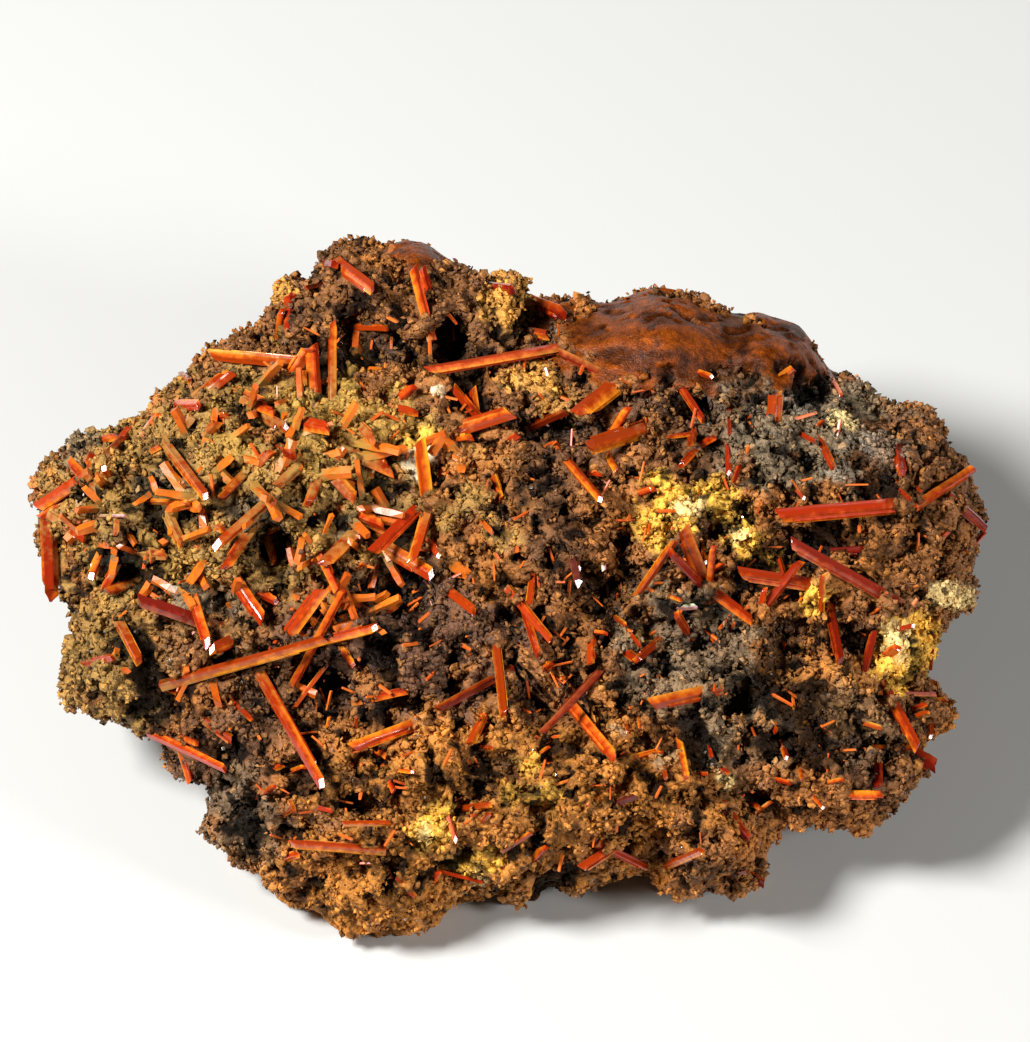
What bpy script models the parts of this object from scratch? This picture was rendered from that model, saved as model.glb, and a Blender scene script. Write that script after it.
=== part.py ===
"""A crocoite specimen: a loose lump of porous brown limonite with orange-red prisms on its leaning face.

The lump is one solid that rests on a flat broken base. Its large crystals, and the sprays of crystals
that grew together, are solids of their own, each seated in a socket in the limonite. The many
small crystals are fused to the limonite that they grow from.

Where things lie on the leaning face is written in steps of the reference view, a grid of 1030 by
1042 steps that counts to the right and down. One step is STEP metres on the real object.
"""

import math

import bmesh
import bpy
import numpy as np
from mathutils import Matrix, Vector, noise

# Driving dimensions, in metres unless a name says steps or mm.
WIDTH = 0.105
WIDTH_STEPS = 960
STEP = WIDTH / WIDTH_STEPS
MM = 0.001
FACE_LEAN = math.radians(50)
MIDDLE_STEPS = 510
FOOT_STEPS = 937
CENTRE_OF_FACE = (510, 590)

# The lump's thickness: its rim falls back towards the top, and both sheets swell away from the rim.
RIM_FALL = 18 * MM
RIM_FALL_HEIGHT = 0.076
RIM_FALL_POWER = 1.6
FRONT_SWELL = 14 * MM
FRONT_ROUND = 18 * MM
BACK_SWELL = 28 * MM
BACK_ROUND = 30 * MM
EDGE_FADE = 5 * MM

# The roughness of the broken limonite: height and spacing of its knobs.
KNOB_HEIGHT = 1.1 * MM
KNOB_SPACING = 7 * MM
KNOB_OCTAVES = 3
KNOB_COARSENESS = 0.9
KNOB_REFINEMENT = 2.1
FRONT_LAYER = 0.5
BACK_LAYER = 7.5
BACK_KNOB_HEIGHT = 2.0 * MM
BACK_KNOB_SPACING = 13 * MM

SPOKES = 168
RINGS = 34
ROCK_SHARE_KEPT = 0.125

# Crystals: four flat faces, narrow faces along the two sharp corners, and one slanting end.
ROOT_SINK = 0.5 * MM
ROOT_LENGTH = 1.7 * MM
SOCKET_GAP = 0.3 * MM
CORNER_CUT = 0.16
TIP_TAPER = 0.94
END_SLANT = 0.7
PRISM_DEPTH = 0.9
BLADE_DEPTH = 0.5
BLADE_WIDTH_STEPS = 13
ROLL_SPREAD = math.radians(34)
ROLL_STEP = 2.4
AXIS_SHARES = (0.35, 0.5, 0.7, 0.85, 1.0)
MOST_EXTRA_LIFT = 2.5 * MM
SMALL_LIFT = 0.8 * MM
CENTRE_Y = 36.2 * MM

# The lump's outline on the view, clockwise from its left end.
OUTLINE = [
    (33, 493), (37, 461), (59, 450), (95, 431), (128, 424), (150, 412), (160, 390), (180, 376),
    (206, 350), (220, 337), (237, 325), (256, 321), (270, 302), (279, 282), (291, 277), (309, 276),
    (312, 262), (322, 247), (340, 239), (364, 240), (386, 242), (406, 237), (426, 240), (441, 252),
    (456, 262), (472, 268), (491, 277), (508, 272), (520, 273), (528, 283), (535, 302), (548, 299),
    (564, 294), (592, 301), (612, 301), (628, 295), (646, 288), (662, 285), (683, 289), (704, 298),
    (734, 312), (757, 310), (776, 315), (796, 322), (808, 331), (820, 349), (830, 368), (852, 374),
    (867, 385), (892, 400), (904, 405), (918, 403), (931, 410), (942, 421), (949, 435), (955, 450),
    (968, 460), (970, 480), (982, 501), (991, 521), (981, 545), (978, 567), (971, 578), (977, 600),
    (951, 616), (938, 636), (934, 668), (925, 686), (948, 700), (963, 718), (942, 731), (922, 746),
    (938, 762), (930, 776), (912, 785), (907, 801), (888, 809), (877, 823), (860, 832), (842, 829),
    (822, 825), (800, 829), (778, 828), (770, 846), (766, 880), (746, 890), (722, 893), (700, 897),
    (682, 899), (664, 894), (656, 872), (648, 869), (627, 872), (612, 886), (580, 891), (552, 895),
    (538, 904), (514, 907), (494, 899), (474, 897), (452, 903), (440, 917), (430, 929), (404, 937),
    (388, 931), (370, 937), (346, 935), (330, 925), (320, 908), (290, 901), (267, 891), (255, 869),
    (230, 864), (224, 848), (200, 834), (196, 820), (212, 808), (206, 790), (180, 780), (168, 766),
    (158, 743), (128, 729), (116, 720), (96, 720), (84, 708), (66, 700), (60, 684), (61, 658),
    (73, 640), (70, 617), (58, 604), (44, 570), (36, 529),
]

# Knolls on the face: middle, half width and half height in steps, and height in mm.
KNOLLS = [
    (215, 490, 175, 120, 4.5), (335, 285, 70, 50, 2.5), (470, 300, 75, 45, 2.0),
    (655, 335, 95, 48, 4.0), (780, 350, 62, 42, 2.5), (415, 256, 42, 22, 1.5),
    (800, 430, 110, 70, 3.5), (930, 475, 65, 85, 3.5), (905, 640, 48, 48, 2.0),
    (500, 810, 240, 80, 3.0), (372, 895, 75, 38, 1.5), (715, 860, 58, 40, 1.5),
    (860, 785, 80, 45, 1.5), (110, 655, 62, 62, 2.5), (250, 800, 70, 60, 2.0),
    (540, 520, 95, 95, 3.5), (410, 655, 80, 55, 2.0), (590, 790, 120, 60, 2.0),
    (700, 560, 60, 60, 1.5), (680, 700, 80, 40, 2.0), (430, 760, 70, 40, 1.5),
    (320, 770, 50, 40, 1.5), (850, 560, 70, 40, 1.5), (300, 430, 90, 50, 1.5),
]

# Hollows in the face: middle, half width and half height in steps, and depth in mm.
HOLLOWS = [
    (545, 694, 36, 30, 7.5), (392, 592, 62, 34, 4.5), (272, 545, 36, 30, 5.0),
    (390, 352, 48, 22, 4.5), (452, 338, 22, 38, 5.0), (335, 690, 30, 40, 4.0),
    (600, 592, 30, 32, 4.5), (782, 645, 30, 42, 5.5), (690, 408, 42, 22, 5.0),
    (556, 428, 56, 16, 4.5), (716, 528, 26, 16, 5.0), (790, 552, 48, 22, 5.0),
    (862, 642, 34, 22, 4.0), (862, 742, 42, 18, 4.0), (192, 516, 18, 15, 3.5),
    (505, 762, 30, 15, 3.0), (545, 325, 20, 28, 4.0), (366, 330, 30, 16, 4.0),
    (622, 540, 22, 22, 3.5), (352, 806, 26, 18, 3.5), (430, 800, 22, 12, 2.5),
    (700, 640, 30, 24, 3.5), (880, 770, 20, 22, 3.0), (300, 700, 18, 20, 2.5),
    (635, 580, 18, 22, 3.0), (650, 745, 30, 14, 2.5), (248, 690, 22, 18, 2.5),
    (730, 700, 28, 26, 3.0), (660, 850, 12, 18, 2.5), (470, 520, 18, 18, 2.5),
]

# Large crystals: node, root and tip on the view, width in steps, and how far the tip lifts in mm.
# Rows that share a node grew together.
CRYSTALS = [
    ("crown_slanting", (341, 265), (374, 290), 12, 2.0),
    ("crown_post", (428, 326), (412, 264), 9, 1.2),
    ("crown_needle", (333, 397), (333, 318), 8, 1.6),
    ("crown_vee", (316, 398), (312, 342), 13, 2.5),
    ("crown_vee", (290, 376), (309, 346), 12, 2.3),
    ("crown_side", (280, 361), (207, 354), 11, 1.2),
    ("crown_long", (560, 347), (426, 371), 11, 1.6),
    ("crust_edge", (49, 527), (52, 601), 15, 3.0),
    ("crust_corner", (80, 479), (34, 509), 11, 1.4),
    ("crust_bar", (167, 445), (208, 497), 10, 1.6),
    ("crust_bright", (270, 500), (215, 548), 10, 2.6),
    ("crust_dusty", (254, 527), (226, 570), 11, 2.0),
    ("crust_fork", (326, 466), (358, 501), 11, 1.8),
    ("crust_low", (214, 626), (137, 599), 12, 1.6),
    ("crust_hook", (192, 588), (211, 647), 10, 3.0),
    ("crust_hook", (239, 637), (212, 649), 12, 2.8),
    ("crust_stub", (121, 625), (142, 662), 10, 2.0),
    ("crust_plump", (300, 423), (331, 430), 12, 1.8),
    ("spray_centre", (429, 504), (420, 437), 12, 2.6),
    ("spray_centre", (430, 501), (412, 562), 11, 3.0),
    ("spray_centre", (426, 500), (371, 554), 12, 3.0),
    ("centre_glint", (383, 545), (433, 575), 13, 1.6),
    ("centre_short", (350, 511), (386, 526), 10, 2.0),
    ("centre_dart", (316, 545), (339, 593), 9, 3.0),
    ("centre_thick", (360, 527), (323, 566), 14, 1.4),
    ("centre_blade", (284, 642), (326, 586), 13, 3.0),
    ("cross_left", (176, 681), (330, 638), 10, 2.6),
    ("cross_upright", (289, 692), (345, 588), 8, 2.2),
    ("cross_tip", (330, 639), (377, 627), 10, 2.8),
    ("centre_glassy", (262, 676), (325, 784), 10, 3.2),
    ("crust_wedge", (231, 571), (266, 622), 12, 1.8),
    ("centre_button", (445, 588), (476, 612), 9, 1.6),
    ("centre_upright", (495, 638), (504, 716), 9, 2.4),
    ("centre_slip", (516, 597), (552, 641), 8, 2.0),
    ("centre_beam", (422, 720), (350, 747), 11, 2.6),
    ("centre_amber", (500, 674), (436, 709), 8, 1.0),
    ("centre_brown", (609, 662), (540, 733), 8, 1.4),
    ("centre_strong", (563, 694), (614, 756), 11, 3.2),
    ("crown_plate", (456, 430), (515, 412), 13, 2.4),
    ("centre_spike", (561, 453), (601, 501), 8, 2.6),
    ("blade_top", (620, 381), (577, 415), 18, 1.8),
    ("blade_middle", (636, 433), (585, 450), 17, 2.2),
    ("right_sliver", (678, 382), (704, 422), 7, 1.6),
    ("right_block", (772, 424), (775, 390), 14, 1.6),
    ("right_beam", (894, 505), (773, 516), 15, 3.2),
    ("right_tip", (922, 501), (976, 467), 10, 2.2),
    ("right_rose", (889, 598), (787, 541), 11, 3.6),
    ("star_right", (818, 585), (735, 572), 12, 2.6),
    ("star_right", (761, 609), (800, 560), 9, 3.4),
    ("right_end", (959, 504), (987, 529), 10, 1.2),
    ("right_drop", (830, 615), (839, 662), 9, 1.8),
    ("frame_right", (888, 694), (918, 750), 10, 2.6),
    ("knob_right", (921, 757), (938, 767), 14, 0.8),
    ("corner_right", (842, 793), (880, 793), 10, 1.4),
    ("right_wedge", (708, 690), (646, 703), 13, 2.8),
    ("right_spear", (634, 599), (675, 539), 7, 3.4),
    ("spray_right", (706, 590), (668, 551), 8, 2.8),
    ("spray_right", (706, 588), (681, 524), 15, 2.6),
    ("spray_right", (708, 591), (712, 546), 7, 3.2),
    ("spray_right", (703, 585), (753, 622), 9, 1.4),
    ("vee_centre", (621, 647), (638, 660), 8, 2.0),
    ("vee_centre", (653, 645), (635, 660), 8, 2.0),
    ("centre_plum", (569, 549), (580, 587), 10, 1.6),
    ("foot_left", (158, 737), (228, 768), 8, 1.4),
    ("foot_bright", (371, 848), (291, 842), 9, 2.2),
    ("vee_foot", (612, 846), (578, 868), 10, 1.6),
    ("vee_foot", (606, 846), (649, 868), 8, 1.4),
    ("foot_right", (664, 866), (701, 848), 8, 1.6),
]

# Small crystals, fused to the limonite: root and tip on the view, and width in steps.
SMALL_CRYSTALS = [
    ((289, 321), (289, 290), 12), ((279, 326), (281, 308), 7), ((348, 326), (388, 328), 7),
    ((536, 302), (565, 313), 14), ((525, 331), (551, 335), 10), ((494, 287), (514, 290), 10),
    ((324, 263), (335, 264), 9), ((206, 391), (234, 370), 12), ((269, 380), (285, 361), 11),
    ((241, 391), (266, 402), 8), ((252, 404), (277, 415), 9), ((260, 414), (288, 429), 12),
    ((172, 405), (200, 405), 11), ((202, 439), (220, 420), 10), ((208, 417), (229, 415), 7),
    ((178, 432), (194, 415), 11), ((148, 429), (161, 411), 9), ((115, 447), (131, 426), 10),
    ((94, 443), (118, 435), 8), ((105, 456), (124, 437), 9), ((87, 479), (68, 459), 9),
    ((103, 479), (87, 454), 12), ((112, 479), (104, 468), 8), ((146, 454), (162, 446), 7),
    ((256, 470), (273, 450), 10), ((275, 445), (296, 457), 9), ((306, 460), (276, 488), 10),
    ((319, 476), (308, 506), 10), ((248, 473), (221, 500), 9), ((137, 501), (192, 503), 6),
    ((168, 512), (185, 547), 10), ((59, 521), (88, 540), 10), ((98, 516), (127, 516), 4),
    ((102, 554), (91, 578), 9), ((143, 553), (168, 555), 10), ((152, 547), (156, 562), 10),
    ((85, 664), (116, 657), 8), ((61, 505), (37, 519), 8), ((181, 375), (189, 381), 7),
    ((211, 524), (225, 530), 8), ((356, 424), (375, 442), 12), ((354, 456), (396, 474), 11),
    ((396, 405), (414, 385), 10), ((395, 409), (418, 413), 8), ((428, 538), (439, 556), 7),
    ((337, 641), (355, 665), 7), ((265, 533), (276, 565), 7), ((485, 710), (470, 744), 9),
    ((450, 440), (472, 437), 10), ((495, 449), (520, 434), 9), ((492, 472), (502, 502), 7),
    ((449, 456), (441, 476), 8), ((698, 418), (690, 445), 8), ((697, 449), (680, 467), 7),
    ((729, 408), (729, 434), 5), ((728, 443), (728, 475), 6), ((740, 461), (733, 483), 5),
    ((700, 446), (715, 437), 7), ((784, 375), (795, 367), 9), ((817, 436), (833, 470), 7),
    ((659, 438), (691, 434), 5), ((831, 373), (842, 395), 5), ((607, 453), (617, 473), 8),
    ((897, 447), (902, 474), 10), ((939, 539), (948, 530), 7), ((861, 673), (873, 630), 8),
    ((879, 635), (912, 625), 6), ((882, 655), (897, 646), 9), ((907, 711), (926, 703), 5),
    ((886, 747), (917, 747), 6), ((933, 646), (930, 671), 5), ((692, 641), (675, 613), 8),
    ((673, 608), (696, 606), 6), ((591, 639), (590, 665), 8), ((577, 629), (607, 633), 5),
    ((602, 546), (604, 572), 6), ((543, 669), (552, 661), 8), ((700, 538), (705, 563), 5),
    ((624, 625), (640, 646), 5), ((759, 611), (764, 587), 6), ((185, 759), (192, 783), 9),
    ((219, 728), (235, 740), 9), ((230, 699), (253, 718), 6), ((180, 734), (199, 743), 7),
    ((257, 798), (276, 784), 6), ((286, 857), (299, 853), 8), ((377, 747), (389, 756), 8),
    ((461, 808), (490, 802), 8), ((447, 809), (457, 841), 6), ((512, 843), (532, 830), 5),
    ((533, 859), (545, 845), 8), ((433, 868), (484, 881), 5), ((408, 886), (417, 897), 7),
    ((630, 758), (662, 750), 7), ((611, 804), (637, 793), 7), ((677, 735), (686, 777), 7),
    ((661, 750), (665, 777), 6), ((771, 712), (775, 733), 5), ((770, 777), (790, 782), 5),
    ((807, 790), (822, 807), 5), ((751, 815), (771, 800), 5), ((750, 872), (766, 885), 9),
    ((852, 719), (880, 727), 5), ((635, 495), (655, 488), 7), ((367, 699), (409, 690), 8),
    ((331, 659), (294, 708), 5), ((431, 302), (421, 265), 8), ((600, 372), (557, 351), 9),
    ((119, 562), (104, 591), 9), ((139, 583), (106, 592), 9), ((250, 588), (281, 603), 8),
    ((523, 604), (539, 656), 7), ((534, 571), (529, 606), 7), ((484, 424), (452, 386), 9),
    ((478, 424), (472, 386), 8), ((526, 429), (568, 411), 8), ((611, 436), (628, 407), 9),
    ((907, 547), (828, 552), 9), ((785, 579), (778, 556), 5), ((820, 620), (821, 574), 6),
    ((886, 692), (936, 694), 6), ((933, 690), (930, 738), 6), ((877, 760), (877, 788), 9),
    ((408, 821), (343, 821), 6), ((730, 812), (750, 840), 8),
]

LIMONITE_BROWN = (0.115, 0.062, 0.026, 1.0)
LIMONITE_ROUGHNESS = 0.75
CROCOITE_ORANGE = (0.78, 0.13, 0.018, 1.0)
CROCOITE_ROUGHNESS = 0.18


def clear_scene():
    for obj in list(bpy.data.objects):
        bpy.data.objects.remove(obj)


def plain_material(name, colour, roughness):
    material = bpy.data.materials.new(name)
    material.use_nodes = True
    shader = material.node_tree.nodes["Principled BSDF"]
    shader.inputs["Base Color"].default_value = colour
    shader.inputs["Roughness"].default_value = roughness
    shader.inputs["Metallic"].default_value = 0.0
    return material


def face_point(x, y, out):
    """The point of the object at steps (x, y) of the view and out metres towards the viewer."""
    up = (FOOT_STEPS - y) * STEP
    return Vector((
        (x - MIDDLE_STEPS) * STEP,
        up * math.sin(FACE_LEAN) - out * math.cos(FACE_LEAN) - CENTRE_Y,
        up * math.cos(FACE_LEAN) + out * math.sin(FACE_LEAN),
    ))


def dome(share):
    """The height of a quarter circle at a share of its radius in from the rim."""
    left = 1 - np.clip(share, 0, 1)
    return np.sqrt(np.maximum(0, 1 - left * left))


def rim_reach(angle):
    """How far the outline lies from the centre of the face, in steps, in the direction of angle."""
    corners = np.array(OUTLINE, float) - CENTRE_OF_FACE
    way = np.array((math.cos(angle), math.sin(angle)))
    side = corners @ np.array((-way[1], way[0]))
    along = corners @ way
    next_side, next_along = np.roll(side, -1), np.roll(along, -1)
    crosses = (side > 0) != (next_side > 0)
    share = side[crosses] / (side[crosses] - next_side[crosses])
    return float(np.max(along[crosses] + share * (next_along[crosses] - along[crosses])))


def rim_distance(x, y):
    """How far points of the view lie inside the outline, in metres, and 0 outside it."""
    x, y = np.atleast_1d(np.asarray(x, float)), np.atleast_1d(np.asarray(y, float))
    starts = np.array(OUTLINE, float)
    runs = np.roll(starts, -1, axis=0) - starts
    nearest = np.full(x.shape, np.inf)
    inside = np.zeros(x.shape, bool)
    for (start_x, start_y), (run_x, run_y) in zip(starts, runs):
        to_x, to_y = x - start_x, y - start_y
        share = np.clip((to_x * run_x + to_y * run_y) / (run_x ** 2 + run_y ** 2), 0, 1)
        nearest = np.minimum(nearest, np.hypot(to_x - share * run_x, to_y - share * run_y))
        if run_y:
            inside ^= ((start_y > y) != (start_y + run_y > y)) & (x < start_x + to_y * run_x / run_y)
    return np.where(inside, nearest, 0) * STEP


def mound(x, y, forms):
    """The summed height, in metres, of rounded forms (middle, half sizes, height in mm) at steps (x, y)."""
    total = np.zeros(np.shape(x))
    for middle_x, middle_y, half_width, half_height, height in forms:
        share = ((x - middle_x) / half_width) ** 2 + ((y - middle_y) / half_height) ** 2
        total += height * MM * np.maximum(0, 1 - share) ** 1.5
    return total


def knobs(x, y, spacing, layer):
    """Broken knobs of about unit height, the same on every call."""
    scale = STEP / spacing
    return np.array([
        noise.fractal(Vector((px * scale, py * scale, layer)), KNOB_COARSENESS, KNOB_REFINEMENT, KNOB_OCTAVES)
        for px, py in zip(np.ravel(x), np.ravel(y))
    ])


def rim_out(y):
    """How far towards the viewer the rim stands at row y."""
    up = np.maximum(0, (FOOT_STEPS - y) * STEP)
    return -RIM_FALL * (up / RIM_FALL_HEIGHT) ** RIM_FALL_POWER


def front_out(x, y):
    """How far towards the viewer the lump's leaning face stands at steps (x, y)."""
    x, y = np.atleast_1d(np.asarray(x, float)), np.atleast_1d(np.asarray(y, float))
    inside = rim_distance(x, y)
    relief = mound(x, y, KNOLLS) - mound(x, y, HOLLOWS) + KNOB_HEIGHT * knobs(x, y, KNOB_SPACING, FRONT_LAYER)
    return rim_out(y) + FRONT_SWELL * dome(inside / FRONT_ROUND) + relief * dome(inside / EDGE_FADE)


def back_out(x, y):
    """The same for the lump's back and underside."""
    inside = rim_distance(x, y)
    relief = BACK_KNOB_HEIGHT * knobs(x, y, BACK_KNOB_SPACING, BACK_LAYER)
    return rim_out(y) - BACK_SWELL * dome(inside / BACK_ROUND) + relief * dome(inside / EDGE_FADE)


def lump_mesh():
    """The whole lump, as two sheets of rings that meet at the outline."""
    angles = [2 * math.pi * spoke / SPOKES for spoke in range(SPOKES)]
    reach = np.array([rim_reach(angle) for angle in angles])
    way_x, way_y = np.cos(angles), np.sin(angles)
    shares = [math.sin(math.pi / 2 * ring / RINGS) for ring in range(RINGS + 1)]
    mesh = bmesh.new()

    def ring_of_points(share, height):
        x = CENTRE_OF_FACE[0] + share * reach * way_x
        y = CENTRE_OF_FACE[1] + share * reach * way_y
        return [mesh.verts.new(face_point(*place)) for place in zip(x, y, height(x, y))]

    def middle_point(height):
        x, y = CENTRE_OF_FACE
        return mesh.verts.new(face_point(x, y, height(np.array([x]), np.array([y]))[0]))

    rim = ring_of_points(1.0, lambda x, y: rim_out(y))
    for height, turned in ((front_out, False), (back_out, True)):
        rings = [ring_of_points(share, height) for share in shares[1:-1]] + [rim]
        middle = middle_point(height)
        for spoke in range(SPOKES):
            after = (spoke + 1) % SPOKES
            faces = [(middle, rings[0][after], rings[0][spoke])]
            faces += [
                (inner[spoke], inner[after], outer[after], outer[spoke])
                for inner, outer in zip(rings, rings[1:])
            ]
            for face in faces:
                mesh.faces.new(face[::-1] if turned else face)
    bmesh.ops.recalc_face_normals(mesh, faces=mesh.faces)
    return mesh


def cut_flat_base(mesh):
    """Breaks the lump off flat where it rests, at height 0."""
    parts = mesh.verts[:] + mesh.edges[:] + mesh.faces[:]
    bmesh.ops.bisect_plane(mesh, geom=parts, plane_co=(0, 0, 0), plane_no=(0, 0, 1), clear_inner=True)
    open_edges = [edge for edge in mesh.edges if edge.is_boundary]
    bmesh.ops.holes_fill(mesh, edges=open_edges)
    bmesh.ops.triangulate(mesh, faces=mesh.faces)


def evaluated_mesh(obj):
    """The object's mesh with its modifiers applied, after which the object is gone."""
    graph = bpy.context.evaluated_depsgraph_get()
    mesh = bpy.data.meshes.new_from_object(obj.evaluated_get(graph))
    bpy.data.objects.remove(obj)
    return mesh


def new_object(name, mesh):
    obj = bpy.data.objects.new(name, mesh)
    bpy.context.scene.collection.objects.link(obj)
    return obj


def thinned(mesh, share_kept):
    """Fewer, larger faces for the same form."""
    obj = new_object("thinning", mesh)
    modifier = obj.modifiers.new("fewer faces", "DECIMATE")
    modifier.ratio = share_kept
    return evaluated_mesh(obj)


def combined(mesh, others, operation):
    """mesh joined with, or cut by, every mesh in others."""
    helpers = bpy.data.collections.new("helpers")
    bpy.context.scene.collection.children.link(helpers)
    obj = new_object("combining", mesh)
    for other in others:
        helper = bpy.data.objects.new("helper", other)
        helper.hide_render = True
        helpers.objects.link(helper)
    modifier = obj.modifiers.new("combine", "BOOLEAN")
    modifier.operation = operation
    modifier.solver = "EXACT"
    modifier.operand_type = "COLLECTION"
    modifier.collection = helpers
    result = evaluated_mesh(obj)
    for helper in list(helpers.objects):
        bpy.data.objects.remove(helper)
    bpy.data.collections.remove(helpers)
    return result


def largest_piece(mesh):
    """Drops the loose flakes that the cuts leave, and keeps the lump."""
    work = bmesh.new()
    work.from_mesh(mesh)
    unseen = set(work.verts)
    pieces = []
    while unseen:
        front = [unseen.pop()]
        piece = list(front)
        while front:
            vertex = front.pop()
            for edge in vertex.link_edges:
                other = edge.other_vert(vertex)
                if other in unseen:
                    unseen.remove(other)
                    front.append(other)
                    piece.append(other)
        pieces.append(piece)
    for piece in sorted(pieces, key=len)[:-1]:
        bmesh.ops.delete(work, geom=piece, context="VERTS")
    work.to_mesh(mesh)
    work.free()
    return mesh


def crystal_axis(root, tip, lift):
    """Where a crystal leaves the rock and where it ends, clear of the face along its whole length."""
    shares = np.array(AXIS_SHARES)
    x = root[0] + shares * (tip[0] - root[0])
    y = root[1] + shares * (tip[1] - root[1])
    ground = front_out(x, y)
    start = float(front_out(*root)[0]) - ROOT_SINK
    needed = float(np.max((ground + lift * shares - start * (1 - shares)) / shares))
    end = min(needed, float(ground[-1]) + lift + MOST_EXTRA_LIFT)
    foot, head = face_point(*root, start), face_point(*tip, end)
    return foot - (head - foot).normalized() * ROOT_LENGTH, head


def section(width, depth, sides):
    """The corners of a crystal's cross-section: a rhomb whose two sharp corners are cut where sides is 6."""
    half_width, half_depth = width / 2, depth / 2
    if sides == 4:
        corners = [(half_width, 0), (0, half_depth), (-half_width, 0), (0, -half_depth)]
    else:
        cut_x, cut_y = half_width * (1 - CORNER_CUT), half_depth * CORNER_CUT * 2
        corners = [(cut_x, -cut_y), (cut_x, cut_y), (0, half_depth)]
        corners += [(-x, -y) for x, y in corners]
    return [Vector(corner) for corner in corners]


def prism_mesh(name, root, tip, width, sides, roll, gap=0.0):
    """One crystal from root to tip, or with a gap the socket that it sits in."""
    axis = (tip - root).normalized()
    towards_viewer = Vector((0, -math.cos(FACE_LEAN), math.sin(FACE_LEAN)))
    across = axis.cross(towards_viewer).normalized()
    outward = across.cross(axis)
    turn = Matrix.Rotation(roll, 3, axis)
    across, outward = turn @ across, turn @ outward
    depth = width * (BLADE_DEPTH if width > BLADE_WIDTH_STEPS * STEP else PRISM_DEPTH)
    wider = 2 * math.sqrt(2) * gap
    corners = section(width + wider, depth + wider, sides)
    slants = [0 if gap else END_SLANT * corner.x for corner in corners]
    mesh = bmesh.new()
    bottom, top = [], []
    for corner, slant in zip(corners, slants):
        aside = across * corner.x + outward * corner.y
        bottom.append(mesh.verts.new(root - axis * gap + aside))
        top.append(mesh.verts.new(tip + axis * (gap + slant - max(slants)) + aside * TIP_TAPER))
    mesh.faces.new(bottom[::-1])
    mesh.faces.new(top)
    for index in range(len(corners)):
        after = (index + 1) % len(corners)
        mesh.faces.new((bottom[index], bottom[after], top[after], top[index]))
    bmesh.ops.recalc_face_normals(mesh, faces=mesh.faces)
    data = bpy.data.meshes.new(name)
    mesh.to_mesh(data)
    mesh.free()
    return data


def crystal_roll(number):
    """A turn about its own axis that differs from one crystal to the next."""
    return ROLL_SPREAD * math.sin(ROLL_STEP * number)


def build_crystals():
    """Each node's crystal solid, and the sockets for all of them."""
    solids, sockets = {}, []
    for number, (node, root, tip, width, lift) in enumerate(CRYSTALS):
        foot, head = crystal_axis(root, tip, lift * MM)
        roll = crystal_roll(number)
        solids.setdefault(node, []).append(prism_mesh(node, foot, head, width * STEP, 6, roll))
        sockets.append(prism_mesh("socket", foot, head, width * STEP, 4, roll, SOCKET_GAP))
    for node, meshes in solids.items():
        solids[node] = combined(meshes[0], meshes[1:], "UNION") if len(meshes) > 1 else meshes[0]
    return solids, sockets


def small_crystals():
    meshes = []
    for number, (root, tip, width) in enumerate(SMALL_CRYSTALS):
        foot, head = crystal_axis(root, tip, SMALL_LIFT)
        meshes.append(prism_mesh("small crystal", foot, head, width * STEP, 4, crystal_roll(number)))
    return meshes


def build_limonite(sockets):
    """The lump with its small crystals, its base and the sockets of the large crystals."""
    work = lump_mesh()
    data = bpy.data.meshes.new("lump")
    work.to_mesh(data)
    work.free()
    data = thinned(data, ROCK_SHARE_KEPT)
    data = combined(data, small_crystals(), "UNION")
    work = bmesh.new()
    work.from_mesh(data)
    cut_flat_base(work)
    work.to_mesh(data)
    work.free()
    return largest_piece(combined(data, sockets, "DIFFERENCE"))


def finish(name, mesh, material):
    obj = new_object(name, mesh)
    mesh.materials.clear()
    mesh.materials.append(material)
    return obj


def build_specimen():
    clear_scene()
    limonite = plain_material("limonite", LIMONITE_BROWN, LIMONITE_ROUGHNESS)
    crocoite = plain_material("crocoite", CROCOITE_ORANGE, CROCOITE_ROUGHNESS)
    crystals, sockets = build_crystals()
    finish("limonite_matrix", build_limonite(sockets), limonite)
    for node, mesh in crystals.items():
        finish("crystal_" + node, mesh, crocoite)


build_specimen()
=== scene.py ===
# %% [markdown]
# # A crocoite specimen
#
# The object is a loose lump of limonite, a brown iron rust that grew as porous grains and smooth glossy
# caps, with orange-red crocoite prisms on the face that leans towards the viewer. The frame holds the
# solids at their real size. This lesson dresses them: the rock's fine relief, its grains, its colours,
# the prisms, and a plain studio.

# %% Load the frame
import math

import bmesh
import bpy
import numpy as np
from mathutils import Matrix, Vector, noise
from mathutils.bvhtree import BVHTree


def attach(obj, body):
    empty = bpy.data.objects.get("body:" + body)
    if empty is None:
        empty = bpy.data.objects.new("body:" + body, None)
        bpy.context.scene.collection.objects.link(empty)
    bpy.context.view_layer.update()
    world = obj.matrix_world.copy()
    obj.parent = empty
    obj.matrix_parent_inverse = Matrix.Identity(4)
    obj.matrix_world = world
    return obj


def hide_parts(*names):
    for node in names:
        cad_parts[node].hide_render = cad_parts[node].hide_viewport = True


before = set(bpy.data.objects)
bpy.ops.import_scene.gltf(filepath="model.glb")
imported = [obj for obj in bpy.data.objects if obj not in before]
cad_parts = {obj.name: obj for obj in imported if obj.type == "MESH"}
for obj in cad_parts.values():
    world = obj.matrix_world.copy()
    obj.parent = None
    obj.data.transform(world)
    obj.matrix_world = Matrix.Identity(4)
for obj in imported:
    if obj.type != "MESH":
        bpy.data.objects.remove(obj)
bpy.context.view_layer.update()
BODY = "root"
MM = 0.001

# %% [markdown]
# Colours are written as the sRGB hex values that a picture editor shows, and Blender wants linear light, so
# one function turns them. One more adds a node with its settings and links, because every material and
# every Geometry Nodes tree below is built that way. It hands back the output that the next node needs.

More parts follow.
